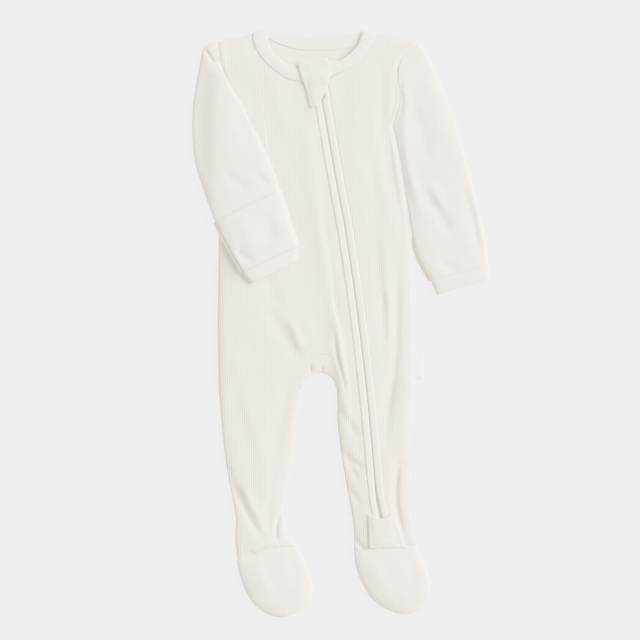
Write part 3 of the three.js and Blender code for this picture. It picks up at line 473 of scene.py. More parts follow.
def cloth_object(name, sheets, thickness, flip=False, weld=0.02):
    """One closed wall grown from grids of points (millimetres) that share their edges, with grain UVs.

    Each sheet is a grid of [x, y, z] with a grid of [across, along] the ribs, in millimetres.
    The rim is rounded. Points closer than weld are joined.
    """
    points = np.vstack([grid.reshape(-1, 3) for grid, _ in sheets])
    grain = np.vstack([uv.reshape(-1, 2) for _, uv in sheets])
    corners = []
    start = 0
    for grid, _ in sheets:
        rows, columns = grid.shape[:2]
        index = start + np.arange(rows * columns).reshape(rows, columns)
        quad = np.stack([index[:-1, :-1], index[1:, :-1], index[1:, 1:], index[:-1, 1:]], axis=-1)
        quad = quad.reshape(-1, 4)
        corners.append(quad[:, ::-1] if flip else quad)
        start += rows * columns
    corners = np.vstack(corners)
    _, first, shared = np.unique(
        np.round(points / weld).astype(int), axis=0, return_index=True, return_inverse=True)
    shared = shared.reshape(-1)
    points = points[first]
    quads = shared[corners]
    diagonals = points[quads[:, 2]] - points[quads[:, 0]], points[quads[:, 3]] - points[quads[:, 1]]
    facing = np.cross(*diagonals)
    normals = np.zeros_like(points)
    for k in range(4):
        np.add.at(normals, quads[:, k], facing)
    normals /= np.maximum(np.linalg.norm(normals, axis=1, keepdims=True), 1e-9)

    count = len(points)
    edges = {}
    for quad, corner in zip(quads.tolist(), corners.tolist()):
        for k in range(4):
            a, b = quad[k], quad[(k + 1) % 4]
            if a == b:
                continue
            if (b, a) in edges:
                del edges[(b, a)]
            else:
                edges[(a, b)] = (corner[k], corner[(k + 1) % 4])
    rim = sorted({a for pair in edges for a in pair})
    rim_of = {vertex: 2 * count + i for i, vertex in enumerate(rim)}
    outward = np.zeros((len(rim), 3))
    for a, b in edges:
        out = np.cross(points[b] - points[a], normals[a] + normals[b])
        out /= max(np.linalg.norm(out), 1e-9)
        outward[rim_of[a] - 2 * count] += out
        outward[rim_of[b] - 2 * count] += out
    outward /= np.maximum(np.linalg.norm(outward, axis=1, keepdims=True), 1e-9)
    bulge = points[rim] + outward * thickness * 0.3 if rim else np.zeros((0, 3))
    vertices = np.vstack([points + normals * thickness / 2, points - normals * thickness / 2, bulge])

    faces, face_grain = [], []
    for quad, corner in zip(quads.tolist(), corners.tolist()):
        keep = [k for k in range(4) if quad[k] != quad[k - 1]]
        if len(keep) < 3:
            continue
        faces.append([quad[k] for k in keep])
        face_grain += [corner[k] for k in keep]
        faces.append([count + quad[k] for k in reversed(keep)])
        face_grain += [corner[k] for k in reversed(keep)]
    for (a, b), (ca, cb) in edges.items():
        faces.append([a, rim_of[a], rim_of[b], b])
        faces.append([rim_of[a], count + a, count + b, rim_of[b]])
        face_grain += [ca, ca, cb, cb] * 2
    mesh = bpy.data.meshes.new(name)
    mesh.from_pydata(((vertices + SHIFT) * MM).tolist(), [], faces)
    layer = mesh.uv_layers.new(name="grain")
    layer.data.foreach_set("uv", (grain[face_grain] * MM).reshape(-1).astype(np.float32))
    mesh.shade_smooth()
    mesh.update()
    piece = bpy.data.objects.new(name, mesh)
    bpy.context.scene.collection.objects.link(piece)
    return piece


def laid(grid, level, turn=0.0):
    """A patch lifted to its level, with ribs that run up the suit or at an angle to that."""
    z = level(grid)
    c, s = math.cos(turn), math.sin(turn)
    across = grid[..., 0] * c + grid[..., 1] * s
    along = grid[..., 1] * c - grid[..., 0] * s
    return np.concatenate([grid, z[..., None]], axis=-1), np.stack([across, along], axis=-1)


# The cut sizes below are read from the cutting outlines alone, never from a finished mesh. They run from
# seam line to seam line. A strip that is folded double is built as one thicker wall, so its width is the
# folded one: it was cut twice as wide.

def cut(*lines):
    """Width, length and area in millimetres of the flat cut inside an outline."""
    ring = np.vstack([line.points for line in lines])
    x, y = ring.T
    area = abs(x @ np.roll(y, -1) - y @ np.roll(x, -1)) / 2
    width, tall = ring.max(axis=0) - ring.min(axis=0)
    return width, tall, area


def finish_piece(piece, node, material):
    """Give a piece its finish and its body, and hide the CAD node it stands for."""
    piece.data.materials.append(material)
    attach(piece, "root")
    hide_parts(node)


def finish_cloth(piece, node, material, with_pieces=()):
    """Finish a piece of cloth as finish_piece does: its finish, its body, and the CAD node it stands for
    hidden.
    """
    finish_piece(piece, node, material)


def floor_level(xy):
    """Where the middle of a layer of knit lies on the floor."""
    return np.full(xy.shape[:-1], KNIT / 2)


def steps(span):
    """How many mesh steps cover a span in millimetres."""
    return max(2, round(span * MM / sizes().mesh_step))


# ---- materials ----------------------------------------------------------------------------------------

def add_node(tree, kind, inputs=None, **settings):
    """Add a node, set its properties, and fill its inputs with values or with other nodes' sockets."""
    node = tree.nodes.new(kind)
    for key, value in settings.items():
        setattr(node, key, value)
    for key, value in (inputs or {}).items():
        if isinstance(value, bpy.types.NodeSocket):
            tree.links.new(value, node.inputs[key])
        else:
            node.inputs[key].default_value = value
    return node


def new_material(name):
    material = bpy.data.materials.new(name)
    material.use_nodes = True
    tree = material.node_tree
    tree.nodes.clear()
    shader = add_node(tree, "ShaderNodeBsdfPrincipled")
    add_node(tree, "ShaderNodeOutputMaterial", {"Surface": shader.outputs["BSDF"]})
    return material, tree, shader


def math_node(tree, operation, first, second=0.0):
    return add_node(tree, "ShaderNodeMath", {0: first, 1: second}, operation=operation).outputs[0]


def noise(tree, place, scale, detail=2.0):
    inputs = {"Vector": place, "Scale": scale, "Detail": detail}
    return add_node(tree, "ShaderNodeTexNoise", inputs).outputs["Fac"]


def along_grain(tree):
    """Places measured across and along the knit or the weave."""
    return add_node(tree, "ShaderNodeUVMap", uv_map="grain").outputs["UV"]


def in_object(tree):
    return add_node(tree, "ShaderNodeTexCoord").outputs["Object"]


def relieve(tree, shader, height, strength, depth):
    """Give a surface relief: what it follows, how strongly, and its depth in metres."""
    bump = add_node(tree, "ShaderNodeBump", {"Height": height, "Strength": strength, "Distance": depth})
    tree.links.new(bump.outputs["Normal"], shader.inputs["Normal"])


def blend(tree, shader, share, first, second):
    """Colour a surface from the first colour to the second by a share."""
    inputs = {"Factor": share, "A": first[:], "B": second[:]}
    mix = add_node(tree, "ShaderNodeMix", inputs, data_type="RGBA", clamp_factor=True)
    tree.links.new(mix.outputs["Result"], shader.inputs["Base Color"])


def rib_knit(name, pitch, depth, painted_shade=0.0):
    """Combed cotton rib jersey: soft matt cords with painted shade in the valleys between them, and a faint
    fuzz.
    """
    if name in bpy.data.materials:
        return bpy.data.materials[name]
    fuzz_share, mottle_share, cord_shade_share = 0.35, 0.4, 0.62
    material, tree, shader = new_material(name)
    grain = along_grain(tree)
    wander = noise(tree, grain, 28.0, 1.0)
    split = add_node(tree, "ShaderNodeSeparateXYZ", {"Vector": grain})
    across = math_node(tree, "MULTIPLY_ADD", wander, 0.0016)
    across.node.inputs[2].default_value = 0.0
    tree.links.new(split.outputs["X"], across.node.inputs[2])
    turns = math_node(tree, "MULTIPLY", across, math.pi / pitch)
    cord = math_node(tree, "POWER", math_node(tree, "ABSOLUTE", math_node(tree, "SINE", turns)), 0.7)
    # loops of yarn along each cord: too fine to see one by one, so drawn at twice their size
    loops = math_node(tree, "SINE", math_node(tree, "MULTIPLY", split.outputs["Y"], 2 * math.pi / 0.0018))
    place = in_object(tree)
    yarn = math_node(tree, "MULTIPLY", loops, 0.02)
    fuzz = math_node(tree, "MULTIPLY", noise(tree, place, 900.0, 3.0), fuzz_share)
    height = math_node(tree, "ADD", math_node(tree, "ADD", cord, yarn), fuzz)
    relieve(tree, shader, height, 0.8, depth)
    # The colour is painted shade between the ribs: it runs from the valley shade colour where the cord is low
    # to the knit colour on its top, more so where the ribs are deep.
    relief = min(depth / sizes().rib_depth, 1.0)
    # painted_shade moves this whole copy of the knit towards the valley shade colour: painted shade.
    level = cord_shade_share * (1 - relief) - painted_shade
    shade_mix = math_node(tree, "ADD", math_node(tree, "MULTIPLY", cord, cord_shade_share * relief), level)
    mottle = math_node(tree, "MULTIPLY", noise(tree, place, 22.0, 3.0), mottle_share)
    blend(tree, shader, math_node(tree, "ADD", shade_mix, mottle), colours().valley_shade, colours().knit)
    shader.inputs["Roughness"].default_value = 0.92
    shader.inputs["Sheen Weight"].default_value = 0.25
    shader.inputs["Sheen Roughness"].default_value = 0.5
    shader.inputs["Specular IOR Level"].default_value = 0.2
    return material


def knit():
    # The body's copy of the knit is darkened a little with painted shade.
    return rib_knit("ivory rib knit", sizes().rib_pitch, sizes().rib_depth, 0.08)


def smooth_knit():
    return rib_knit("smooth ivory rib knit", sizes().rib_pitch, sizes().smooth_depth)


def foot_knit():
    # The feet's copy of the knit is darkened a little with painted shade.
    return rib_knit("foot ivory rib knit", sizes().rib_pitch * 0.85, sizes().rib_depth * 0.6, 0.04)


def binding_knit():
    return rib_knit("doubled ivory rib knit", sizes().rib_pitch * 0.85, sizes().rib_depth * 0.3)


def shaded_guard_knit():
    # Painted shade: the chin guard tilts away from the light, so its copy of the knit is darkened to stand in
    # for that shade.
    return rib_knit("shaded ivory rib knit", sizes().rib_pitch * 0.85, sizes().rib_depth * 0.3, 0.24)


def sewing_thread():
    """Spun polyester thread: a slight gloss over a fine twist."""
    if "sewing thread" in bpy.data.materials:
        return bpy.data.materials["sewing thread"]
    material, tree, shader = new_material("sewing thread")
    inputs = {"Vector": in_object(tree), "Scale": 700.0, "Distortion": 1.0}
    twist = add_node(tree, "ShaderNodeTexWave", inputs)
    relieve(tree, shader, twist.outputs["Fac"], 0.4, 0.0001)
    shader.inputs["Base Color"].default_value = colours().thread[:]
    shader.inputs["Roughness"].default_value = 0.6
    return material


def woven_tape():
    """Polyester zip tape: a flat close weave, its tan partly its own colour and partly painted shade for the
    gap between the bindings.
    """
    material, tree, shader = new_material("woven zip tape")
    grain, thread_width = along_grain(tree), 0.0006
    weave = add_node(tree, "ShaderNodeTexChecker", {"Vector": grain, "Scale": 1 / thread_width})
    relieve(tree, shader, weave.outputs["Fac"], 0.5, 0.00015)
    blend(tree, shader, noise(tree, grain, 60.0), colours().tape, colours().coil)
    shader.inputs["Roughness"].default_value = 0.8
    return material


def nylon_coil():
    """Nylon monofilament: smooth, with a soft gloss."""
    material, tree, shader = new_material("nylon zip coil")
    # The coil is mottled between its own colour and the tape's tan, which is partly painted shade.
    blend(tree, shader, noise(tree, in_object(tree), 300.0), colours().tape, colours().coil)
    shader.inputs["Roughness"].default_value = 0.4
    return material


def painted_zinc():
    """Die-cast zinc under matt ivory paint."""
    material, tree, shader = new_material("painted zinc slider")
    relieve(tree, shader, noise(tree, in_object(tree), 1500.0), 0.2, 0.00005)
    shader.inputs["Base Color"].default_value = colours().slider[:]
    shader.inputs["Roughness"].default_value = 0.42
    return material


def satin_label():
    """Woven polyester satin: white, with a faint thread line and a low sheen."""
    material, tree, shader = new_material("bare satin label")
    inputs = {"Vector": in_object(tree), "Scale": 500.0}
    threads = add_node(tree, "ShaderNodeTexWave", inputs, bands_direction="Y")
    relieve(tree, shader, threads.outputs["Fac"], 0.3, 0.00008)
    shader.inputs["Base Color"].default_value = colours().label[:]
    shader.inputs["Roughness"].default_value = 0.45
    shader.inputs["Sheen Weight"].default_value = 0.2
    return material


def floor_paper():
    """Matt card with a slight tooth, lit from behind so that shadows on it stay faint."""
    glow, light_from_above = 0.85, 6.3
    material, tree, shader = new_material("pale matt card")
    relieve(tree, shader, noise(tree, in_object(tree), 400.0), 0.05, 0.0001)
    card = list(colours().floor[:3])
    shader.inputs["Base Color"].default_value = [(1 - glow) * channel for channel in card] + [1.0]
    shader.inputs["Emission Color"].default_value = card + [1.0]
    shader.inputs["Emission Strength"].default_value = glow * light_from_above
    shader.inputs["Roughness"].default_value = 0.95
    shader.inputs["Specular IOR Level"].default_value = 0.1
    return material


# ---- what repeats: stitches and the zip's coil, by Geometry Nodes -------------------------------------

def repeat_tree(name, material):
    """Small rounded bars along a path: spacing, and each bar's length along, width across and height."""
    tree = bpy.data.node_groups.new(name, "GeometryNodeTree")
    face = tree.interface
    face.new_socket(name="Geometry", in_out="INPUT", socket_type="NodeSocketGeometry")
    for label in ("Spacing", "Length", "Width", "Height"):
        face.new_socket(name=label, in_out="INPUT", socket_type="NodeSocketFloat")
    face.new_socket(name="Geometry", in_out="OUTPUT", socket_type="NodeSocketGeometry")
    source = add_node(tree, "NodeGroupInput").outputs
    curve = add_node(tree, "GeometryNodeMeshToCurve", {"Mesh": source["Geometry"]}).outputs["Curve"]
    spaced = {"Curve": curve, "Length": source["Spacing"]}
    points = add_node(tree, "GeometryNodeCurveToPoints", spaced, mode="LENGTH").outputs
    bar = add_node(
        tree, "GeometryNodeMeshUVSphere", {"Segments": 6, "Rings": 4, "Radius": 0.5}).outputs["Mesh"]
    across = {"X": source["Width"], "Y": source["Height"], "Z": source["Length"]}
    size = add_node(tree, "ShaderNodeCombineXYZ", across).outputs[0]
    shaped = add_node(tree, "GeometryNodeTransform", {"Geometry": bar, "Scale": size}).outputs["Geometry"]
    placed = add_node(
        tree, "GeometryNodeInstanceOnPoints",
        {"Points": points["Points"], "Instance": shaped, "Rotation": points["Rotation"]}).outputs["Instances"]
    real = add_node(tree, "GeometryNodeRealizeInstances", {"Geometry": placed}).outputs["Geometry"]
    smooth = add_node(tree, "GeometryNodeSetShadeSmooth", {"Geometry": real}).outputs["Geometry"]
    painted = add_node(tree, "GeometryNodeSetMaterial", {"Geometry": smooth, "Material": material})
    add_node(tree, "NodeGroupOutput", {"Geometry": painted.outputs["Geometry"]})
    return tree


def along_paths(name, paths, material, spacing, bar):
    """A piece made of small bars along paths of [x, y, z] points in millimetres."""
    vertices, edges = [], []
    for path in paths:
        start = len(vertices)
        vertices += ((np.asarray(path) + SHIFT) * MM).tolist()
        edges += [(start + i, start + i + 1) for i in range(len(path) - 1)]
    mesh = bpy.data.meshes.new(name + "_path")
    mesh.from_pydata(vertices, edges, [])
    carrier = bpy.data.objects.new(name + "_path", mesh)
    bpy.context.scene.collection.objects.link(carrier)
    tree = repeat_tree(name, material)
    modifier = carrier.modifiers.new("repeat", "NODES")
    modifier.node_group = tree
    values = dict(zip(("Spacing", "Length", "Width", "Height"), (spacing, *bar)))
    for item in tree.interface.items_tree:
        if item.in_out == "INPUT" and item.name in values:
            modifier[item.identifier] = values[item.name]
    evaluated = carrier.evaluated_get(bpy.context.evaluated_depsgraph_get())
    result = bpy.data.meshes.new_from_object(evaluated)
    carrier.modifiers.remove(modifier)
    bpy.data.objects.remove(carrier)
    result.name = name
    piece = bpy.data.objects.new(name, result)
    bpy.context.scene.collection.objects.link(piece)
    return piece


def stitching(name, paths):
    s = sizes()
    piece = along_paths(
        name, paths, sewing_thread(), s.stitch_pitch, (s.stitch, s.stitch_width, s.stitch_width * 0.7))
    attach(piece, "root")
    return piece


def raised(line, level, lift, margin=0.0):
    """A line laid on cloth: its points with their height, lift millimetres above the cloth's middle."""
    count = max(8, int(line.length / 2))
    xy = line(np.linspace(margin, 1 - margin, count))
    return np.concatenate([xy, (level(xy) + lift)[:, None]], axis=1)


# ---- the suit's own lines -----------------------------------------------------------------------------

ZIP = through(ZIP_LINE)
ZIP_REACH = 7.3
ZIP_GAP = 1.2
ZIP_LEFT_EDGE = beside(ZIP, -(ZIP_REACH + SEAM / 2))
ZIP_RIGHT_EDGE = beside(ZIP, ZIP_REACH + SEAM / 2)
BODY_LEFT = chain(through(ARMHOLE_LEFT), through(SIDE_LEFT))
BODY_RIGHT = chain(through(ARMHOLE_RIGHT), through(SIDE_RIGHT))
LEFT_ANKLE = beside(through(ANKLE_LEFT), SEAM / 2)
RIGHT_ANKLE = beside(through(ANKLE_RIGHT), SEAM / 2)


def starting(points, first):
    """The same outline with its first point moved."""
    return through([tuple(first)] + list(points[1:]))


def ending(points, last):
    return through(list(points[:-1]) + [tuple(last)])


def back_patches():
    neck = beside(through(NECK_SEAM_BACK), -SEAM)
    arch = through(CROTCH_ARCH)
    left_line = Line([neck(0), arch(0)])
    right_line = Line([neck(1), arch(1)])
    left_end = Line([BODY_LEFT(1), arch(0)])
    right_end = Line([arch(1), BODY_RIGHT(1)])
    neck_columns, side_columns, body_rows, leg_rows = 24, 16, 100, 50
    return [
        patch(ending(SHOULDER_LEFT, neck(0)), left_end, BODY_LEFT, left_line, side_columns, body_rows),
        patch(neck, arch, left_line, right_line, neck_columns, body_rows),
        patch(starting(SHOULDER_RIGHT, neck(1)), right_end, right_line, BODY_RIGHT, side_columns, body_rows),
        patch(left_end, LEFT_ANKLE, through(LEG_LEFT_OUTER), starting(LEG_LEFT_INNER, arch(0)),
              side_columns, leg_rows),
        patch(right_end, RIGHT_ANKLE, starting(LEG_RIGHT_INNER, arch(1)), through(LEG_RIGHT_OUTER),
              side_columns, leg_rows),
    ]


def front_left_patches():
    neck = beside(through(NECK_SEAM_LEFT), -SEAM / 2)
    at_zip = where_at(neck, 0, ZIP_LEFT_EDGE(0)[0])
    turn = at_zip * 0.72
    gusset = beside(through(GUSSET_TOP), SEAM / 2)
    left_line = Line([neck(0), gusset(0)])
    right_line = through([tuple(neck(turn)), (-24.5, 103), (0.5, -34), tuple(gusset(1))])
    top = where_at(ZIP_LEFT_EDGE, 1, neck(at_zip)[1])
    crotch = where_at(ZIP_LEFT_EDGE, 1, CROTCH_Y)
    ankle_y = RIGHT_ANKLE(where_at(RIGHT_ANKLE, 0, ZIP_LEFT_EDGE(1)[0]))[1]
    ankle = where_at(ZIP_LEFT_EDGE, 1, ankle_y)
    ankle_end = where_at(RIGHT_ANKLE, 0, ZIP_LEFT_EDGE(ankle)[0])
    leg_top = Line([gusset(1), ZIP_LEFT_EDGE(crotch)])
    side_end = Line([BODY_LEFT(1), gusset(0)])
    body, leg = steps(350), steps(165)
    return [
        patch(ending(SHOULDER_LEFT, neck(0)), side_end, BODY_LEFT, left_line, steps(68), body),
        patch(part(neck, 0, turn), gusset, left_line, right_line, steps(66), body),
        patch(part(neck, turn, at_zip), leg_top, right_line, part(ZIP_LEFT_EDGE, top, crotch),
              steps(23), body),
        patch(side_end, LEFT_ANKLE, through(LEG_LEFT_OUTER), starting(LEG_LEFT_INNER, gusset(0)),
              steps(68), leg),
        patch(leg_top, part(RIGHT_ANKLE, 0, ankle_end), starting(LEG_RIGHT_INNER, gusset(1)),
              part(ZIP_LEFT_EDGE, crotch, ankle), steps(23), leg),
    ]


def front_right_patches():
    neck = beside(through(NECK_SEAM_RIGHT), -SEAM / 2)
    at_zip = where_at(neck, 0, ZIP_RIGHT_EDGE(0)[0])
    top = where_at(ZIP_RIGHT_EDGE, 1, neck(at_zip)[1])
    ankle_y = RIGHT_ANKLE(where_at(RIGHT_ANKLE, 0, ZIP_RIGHT_EDGE(1)[0]))[1]
    ankle = where_at(ZIP_RIGHT_EDGE, 1, ankle_y)
    hem = part(RIGHT_ANKLE, where_at(RIGHT_ANKLE, 0, ZIP_RIGHT_EDGE(ankle)[0]), 1)
    middle = through([tuple(neck(1)), (52, 120), (52, -60), tuple(hem(0.5))])
    rows = steps(510)
    return [
        patch(part(neck, at_zip, 1), part(hem, 0, 0.5), part(ZIP_RIGHT_EDGE, top, ankle), middle,
              steps(45), rows),
        patch(starting(SHOULDER_RIGHT, neck(1)), part(hem, 0.5, 1), middle,
              chain(BODY_RIGHT, through(LEG_RIGHT_OUTER)), steps(30), rows),
    ]


ZIP_TOP = where_at(ZIP, 1, 239)


def build_zip_binding(side):
    """The folded strip along one side of the zip: too narrow for a sheet, so a piece of its own that lies on
    its panel.
    """
    sign = -1 if side == "left" else 1
    t = np.linspace(ZIP_TOP, 0.998, 240)
    y = ZIP(t)[:, 1]
    gap = ZIP_GAP * 0.75 + 3.5 * eased((y - 221) / 5) + 1.3 * eased((-150 - y) / 45)
    run = ZIP(t + 1e-3) - ZIP(t - 1e-3)
    run /= np.linalg.norm(run, axis=1, keepdims=True)
    normal = np.stack([-run[:, 1], run[:, 0]], axis=1) * sign
    shares = np.linspace(0, 1, 9)
    reach = gap[:, None] + (ZIP_REACH - gap[:, None]) * shares[None, :]
    xy = ZIP(t)[:, None, :] + normal[:, None, :] * reach[..., None]
    crown = 0.42 * rounded(4 * np.minimum(shares, 1 - shares)) - 0.25 * (1 - shares) ** 4
    z = zip_level(xy) + crown[None, :]
    grid = np.concatenate([xy, z[..., None]], axis=-1)
    grain = np.stack(np.broadcast_arrays(reach, (t * ZIP.length)[:, None]), axis=-1)
    piece = cloth_object(f"zip_binding_cloth_{side}", [(grid, grain)], BINDING * 0.8, flip=sign > 0)
    finish_piece(piece, f"zip_binding_{side}", binding_knit())
    return piece


def build_label():
    """The bare label in the side seam: too narrow for a sheet, so a piece of its own that lies on the back
    panel.
    """
    (x, y), (width, tall) = LABEL["low"], LABEL["size"]
    u, v = np.meshgrid(np.linspace(0, 1, 10), np.linspace(1, 0, 20))
    curl = 0.5 * u ** 2 + 0.15 * np.sin(v * 5 + u * 2) * u
    grid = np.stack([x + u * width, y + v * tall, KNIT + SEAM / 2 + curl], axis=-1)
    grain = np.stack([u * width, v * tall], axis=-1)
    piece = cloth_object("side_label_cloth", [(grid, grain)], TAPE * 0.5)
    finish_piece(piece, "side_label", satin_label())
    return piece


# ---- sleeves ------------------------------------------------------------------------------------------

def left_rest(xy):
    """How far the left sleeve is held up by the body under it."""
    line = BODY_LEFT(np.linspace(0, 1, 300))
    order = np.argsort(line[:, 1])
    edge = np.interp(xy[..., 1], line[order, 1], line[order, 0])
    on_body = eased((xy[..., 0] - edge + 24) / 23)
    past_shoulder = eased((262 - xy[..., 1]) / 16)
    inside = np.stack([np.maximum(xy[..., 0], edge) + 5, xy[..., 1]], axis=-1)
    top = body_level(inside, creased=False) + KNIT / 2 + 0.4
    return top * on_body * past_shoulder


def right_rest(xy):
    """How far the right sleeve is held up by the mitten folded under its end."""
    below = (130 - xy[..., 1]) + (xy[..., 0] - 67) * 0.3
    return (KNIT + SEAM) * eased(below / 22)


class Sleeve:
    """A sleeve's surface: where its two layers lie at each place down it and across it."""

    def __init__(self, side):
        data = SLEEVES[side]
        self.side = side
        armhole = beside(through(data["armhole"]), -0.45 if side == "left" else 0.45)
        self.armhole = armhole
        self.outer = [tuple(armhole(0))] + data["outer"]
        self.inner = [tuple(armhole(1))] + data["inner"]
        self.bow = [1.0] + data["bow"] + [0.0] * (len(self.outer) - 4)
        self.rest = left_rest if side == "left" else right_rest
        self.mouth, self.seam, self.hem = data["mouth"], data["seam"], len(self.outer) - 1

    def place(self, k, t):
        """[x, y] at section k (a fraction lies between two) and share t of the way across."""
        k, t = np.broadcast_arrays(k, t)
        outer, inner = spline(self.outer, k), spline(self.inner, k)
        width = np.linalg.norm(inner - outer, axis=-1)
        inset = (KNIT + SEAM / 2) / np.maximum(width, 1)
        t = inset + t * (1 - 2 * inset)
        chord = self.armhole(0) + t[..., None] * (self.armhole(1) - self.armhole(0))
        bow = np.interp(k, np.arange(len(self.bow)), self.bow)
        return outer + t[..., None] * (inner - outer) + bow[..., None] * (self.armhole(t) - chord)

    def levels(self, k, t, thickness=KNIT, loft=SLEEVE_LOFT):
        """[x, y] with the heights of the lower and the upper layer's middles."""
        xy = self.place(k, t)
        low = self.rest(xy) + thickness / 2
        narrow = np.minimum(t, 1 - t)
        gap = thickness + SEAM + loft * rounded(narrow * 2.6)
        soft = eased(narrow / 0.08)
        detail = crease_height(xy, SLEEVE_CREASES)
        detail = detail + 0.2 * unevenness(xy, 40, 3.0) + 0.08 * unevenness(xy, 13, 1.0)
        high = low + gap + detail * soft
        joined = body_level(xy, creased=False) - 0.5
        at_armhole = (1 - eased(np.broadcast_to(k, xy.shape[:-1]) / 0.9)) * (1 - eased((t - 0.75) / 0.25))
        if self.side == "right":
            at_armhole = 1 - eased(np.broadcast_to(k, xy.shape[:-1]) / 0.9)
        high = high + at_armhole * (np.maximum(joined, low + thickness + SEAM) - high)
        return xy, low, np.maximum(high, low + thickness + SEAM / 2)

    def cut(self, start, end, layers=1, beyond=0.0):
        """Width, length and area of the cut between two sections: its layers, and what goes beyond them."""
        k = np.linspace(start, end, 300)
        outer, inner = spline(self.outer, k), spline(self.inner, k)
        tall = Line((outer + inner) / 2).length
        area = cut(Line(outer), Line(inner[::-1]))[2] * layers + beyond * tall
        width = np.linalg.norm(inner - outer, axis=1).max() * layers + beyond
        return width, tall, area

    def tube(self, start, end, rows, columns, thickness=KNIT, loft=SLEEVE_LOFT):
        """The closed ring of each section between two places down the sleeve, with its grain."""
        k = np.linspace(start, end, rows + 1)[:, None]
        t = (0.5 - 0.5 * np.cos(np.pi * np.linspace(0, 1, columns + 1)))[None, :]
        xy, low, high = self.levels(k, t, thickness, loft)
        upper = np.concatenate([xy, high[..., None]], axis=-1)
        lower = np.concatenate([xy, low[..., None]], axis=-1)
        turn_inner = self.fold(upper[:, -1], lower[:, -1], xy[:, -1] - xy[:, -2])
        turn_outer = self.fold(lower[:, 0], upper[:, 0], xy[:, 0] - xy[:, 1])
        ring = np.concatenate([upper, turn_inner, lower[:, ::-1], turn_outer, upper[:, :1]], axis=1)
        stride = np.linalg.norm(np.diff(ring, axis=1), axis=2).mean(0)
        across = np.concatenate([[0], np.cumsum(stride)])
        down = np.linalg.norm(np.diff(ring[:, columns // 2], axis=0), axis=1)
        along = np.concatenate([[0], np.cumsum(down)]) + 200.0 * start
        grain = np.stack(np.broadcast_arrays(across[None, :], along[:, None]), axis=-1)
        return ring, grain

    @staticmethod
    def fold(start, end, outward):
        """The half turn that joins one layer's edge to the other's."""
        outward = outward / np.linalg.norm(outward, axis=-1, keepdims=True)
        middle, half = (start + end) / 2, (start - end) / 2
        reach = np.linalg.norm(half, axis=-1, keepdims=True)
        out = np.concatenate([outward * reach, np.zeros_like(reach)], axis=-1)
        turns = [middle + half * math.cos(a) + out * math.sin(a)
                 for a in (math.pi / 4, math.pi / 2, 3 * math.pi / 4)]
        return np.stack(turns, axis=1)

    def over(self, start, end, rows, columns, lift):
        """A layer laid on top that turns down over both edges of the sleeve."""
        k = np.linspace(start, end, rows + 1)[:, None]
        t = (0.5 - 0.5 * np.cos(np.pi * np.linspace(0, 1, columns + 1)))[None, :]
        xy, low, high = self.levels(k, t)
        high = high + lift(k, t)
        grid = np.concatenate([xy, high[..., None]], axis=-1)
        sides = []
        for edge, next_to in ((0, 1), (-1, -2)):
            out = xy[:, edge] - xy[:, next_to]
            out = out / np.linalg.norm(out, axis=-1, keepdims=True)
            drop = np.minimum(high[:, edge] - low[:, edge], 2.6)
            turns = []
            for reach, share in ((1.9, 0.10), (2.8, 0.50), (MITTEN_REACH, 0.95)):
                turns.append(np.concatenate(
                    [xy[:, edge] + out * reach, (high[:, edge] - drop * share)[:, None]], axis=-1))
            sides.append(np.stack(turns[::-1] if edge == 0 else turns, axis=1))
        grid = np.concatenate([sides[0], grid, sides[1]], axis=1)
        stride = np.linalg.norm(np.diff(grid, axis=1), axis=2).mean(0)
        across = np.concatenate([[0], np.cumsum(stride)])
        along = np.linspace(0, 1, rows + 1) * np.linalg.norm(grid[-1, columns // 2] - grid[0, columns // 2])
        return grid, np.stack(np.broadcast_arrays(across[None, :], along[:, None]), axis=-1)


# ---- operators ----------------------------------------------------------------------------------------

class SLEEPSUIT_OT_body(bpy.types.Operator):
    """Build the panels, the gusset, the zip's bindings and the side label"""
    bl_idname = "sleepsuit.body"
    bl_label = "Body panels"
    bl_options = {"REGISTER", "UNDO"}

    def execute(self, context):
        back = cloth_object("back_cloth", [laid(grid, floor_level) for grid in back_patches()], KNIT)
        finish_cloth(back, "back_panel", knit(), with_pieces=[build_label()])
        left = cloth_object("front_cloth_left", [laid(g, body_level) for g in front_left_patches()], KNIT)
        finish_cloth(left, "front_panel_left", knit(),
                     with_pieces=[build_zip_binding("left")])
        right = cloth_object("front_cloth_right", [laid(g, body_level) for g in front_right_patches()], KNIT)
        finish_cloth(right, "front_panel_right", knit(),
                     with_pieces=[build_zip_binding("right")])
        top, arch = through(GUSSET_TOP), through(CROTCH_ARCH)
        crescent = patch(
            top, arch, Line([top(0), arch(0)]), Line([top(1), arch(1)]), columns=60, rows=14)
        gusset = cloth_object("crotch_gusset_cloth", [laid(crescent, body_level)], KNIT)
        finish_cloth(gusset, "crotch_gusset", knit())
        return {"FINISHED"}


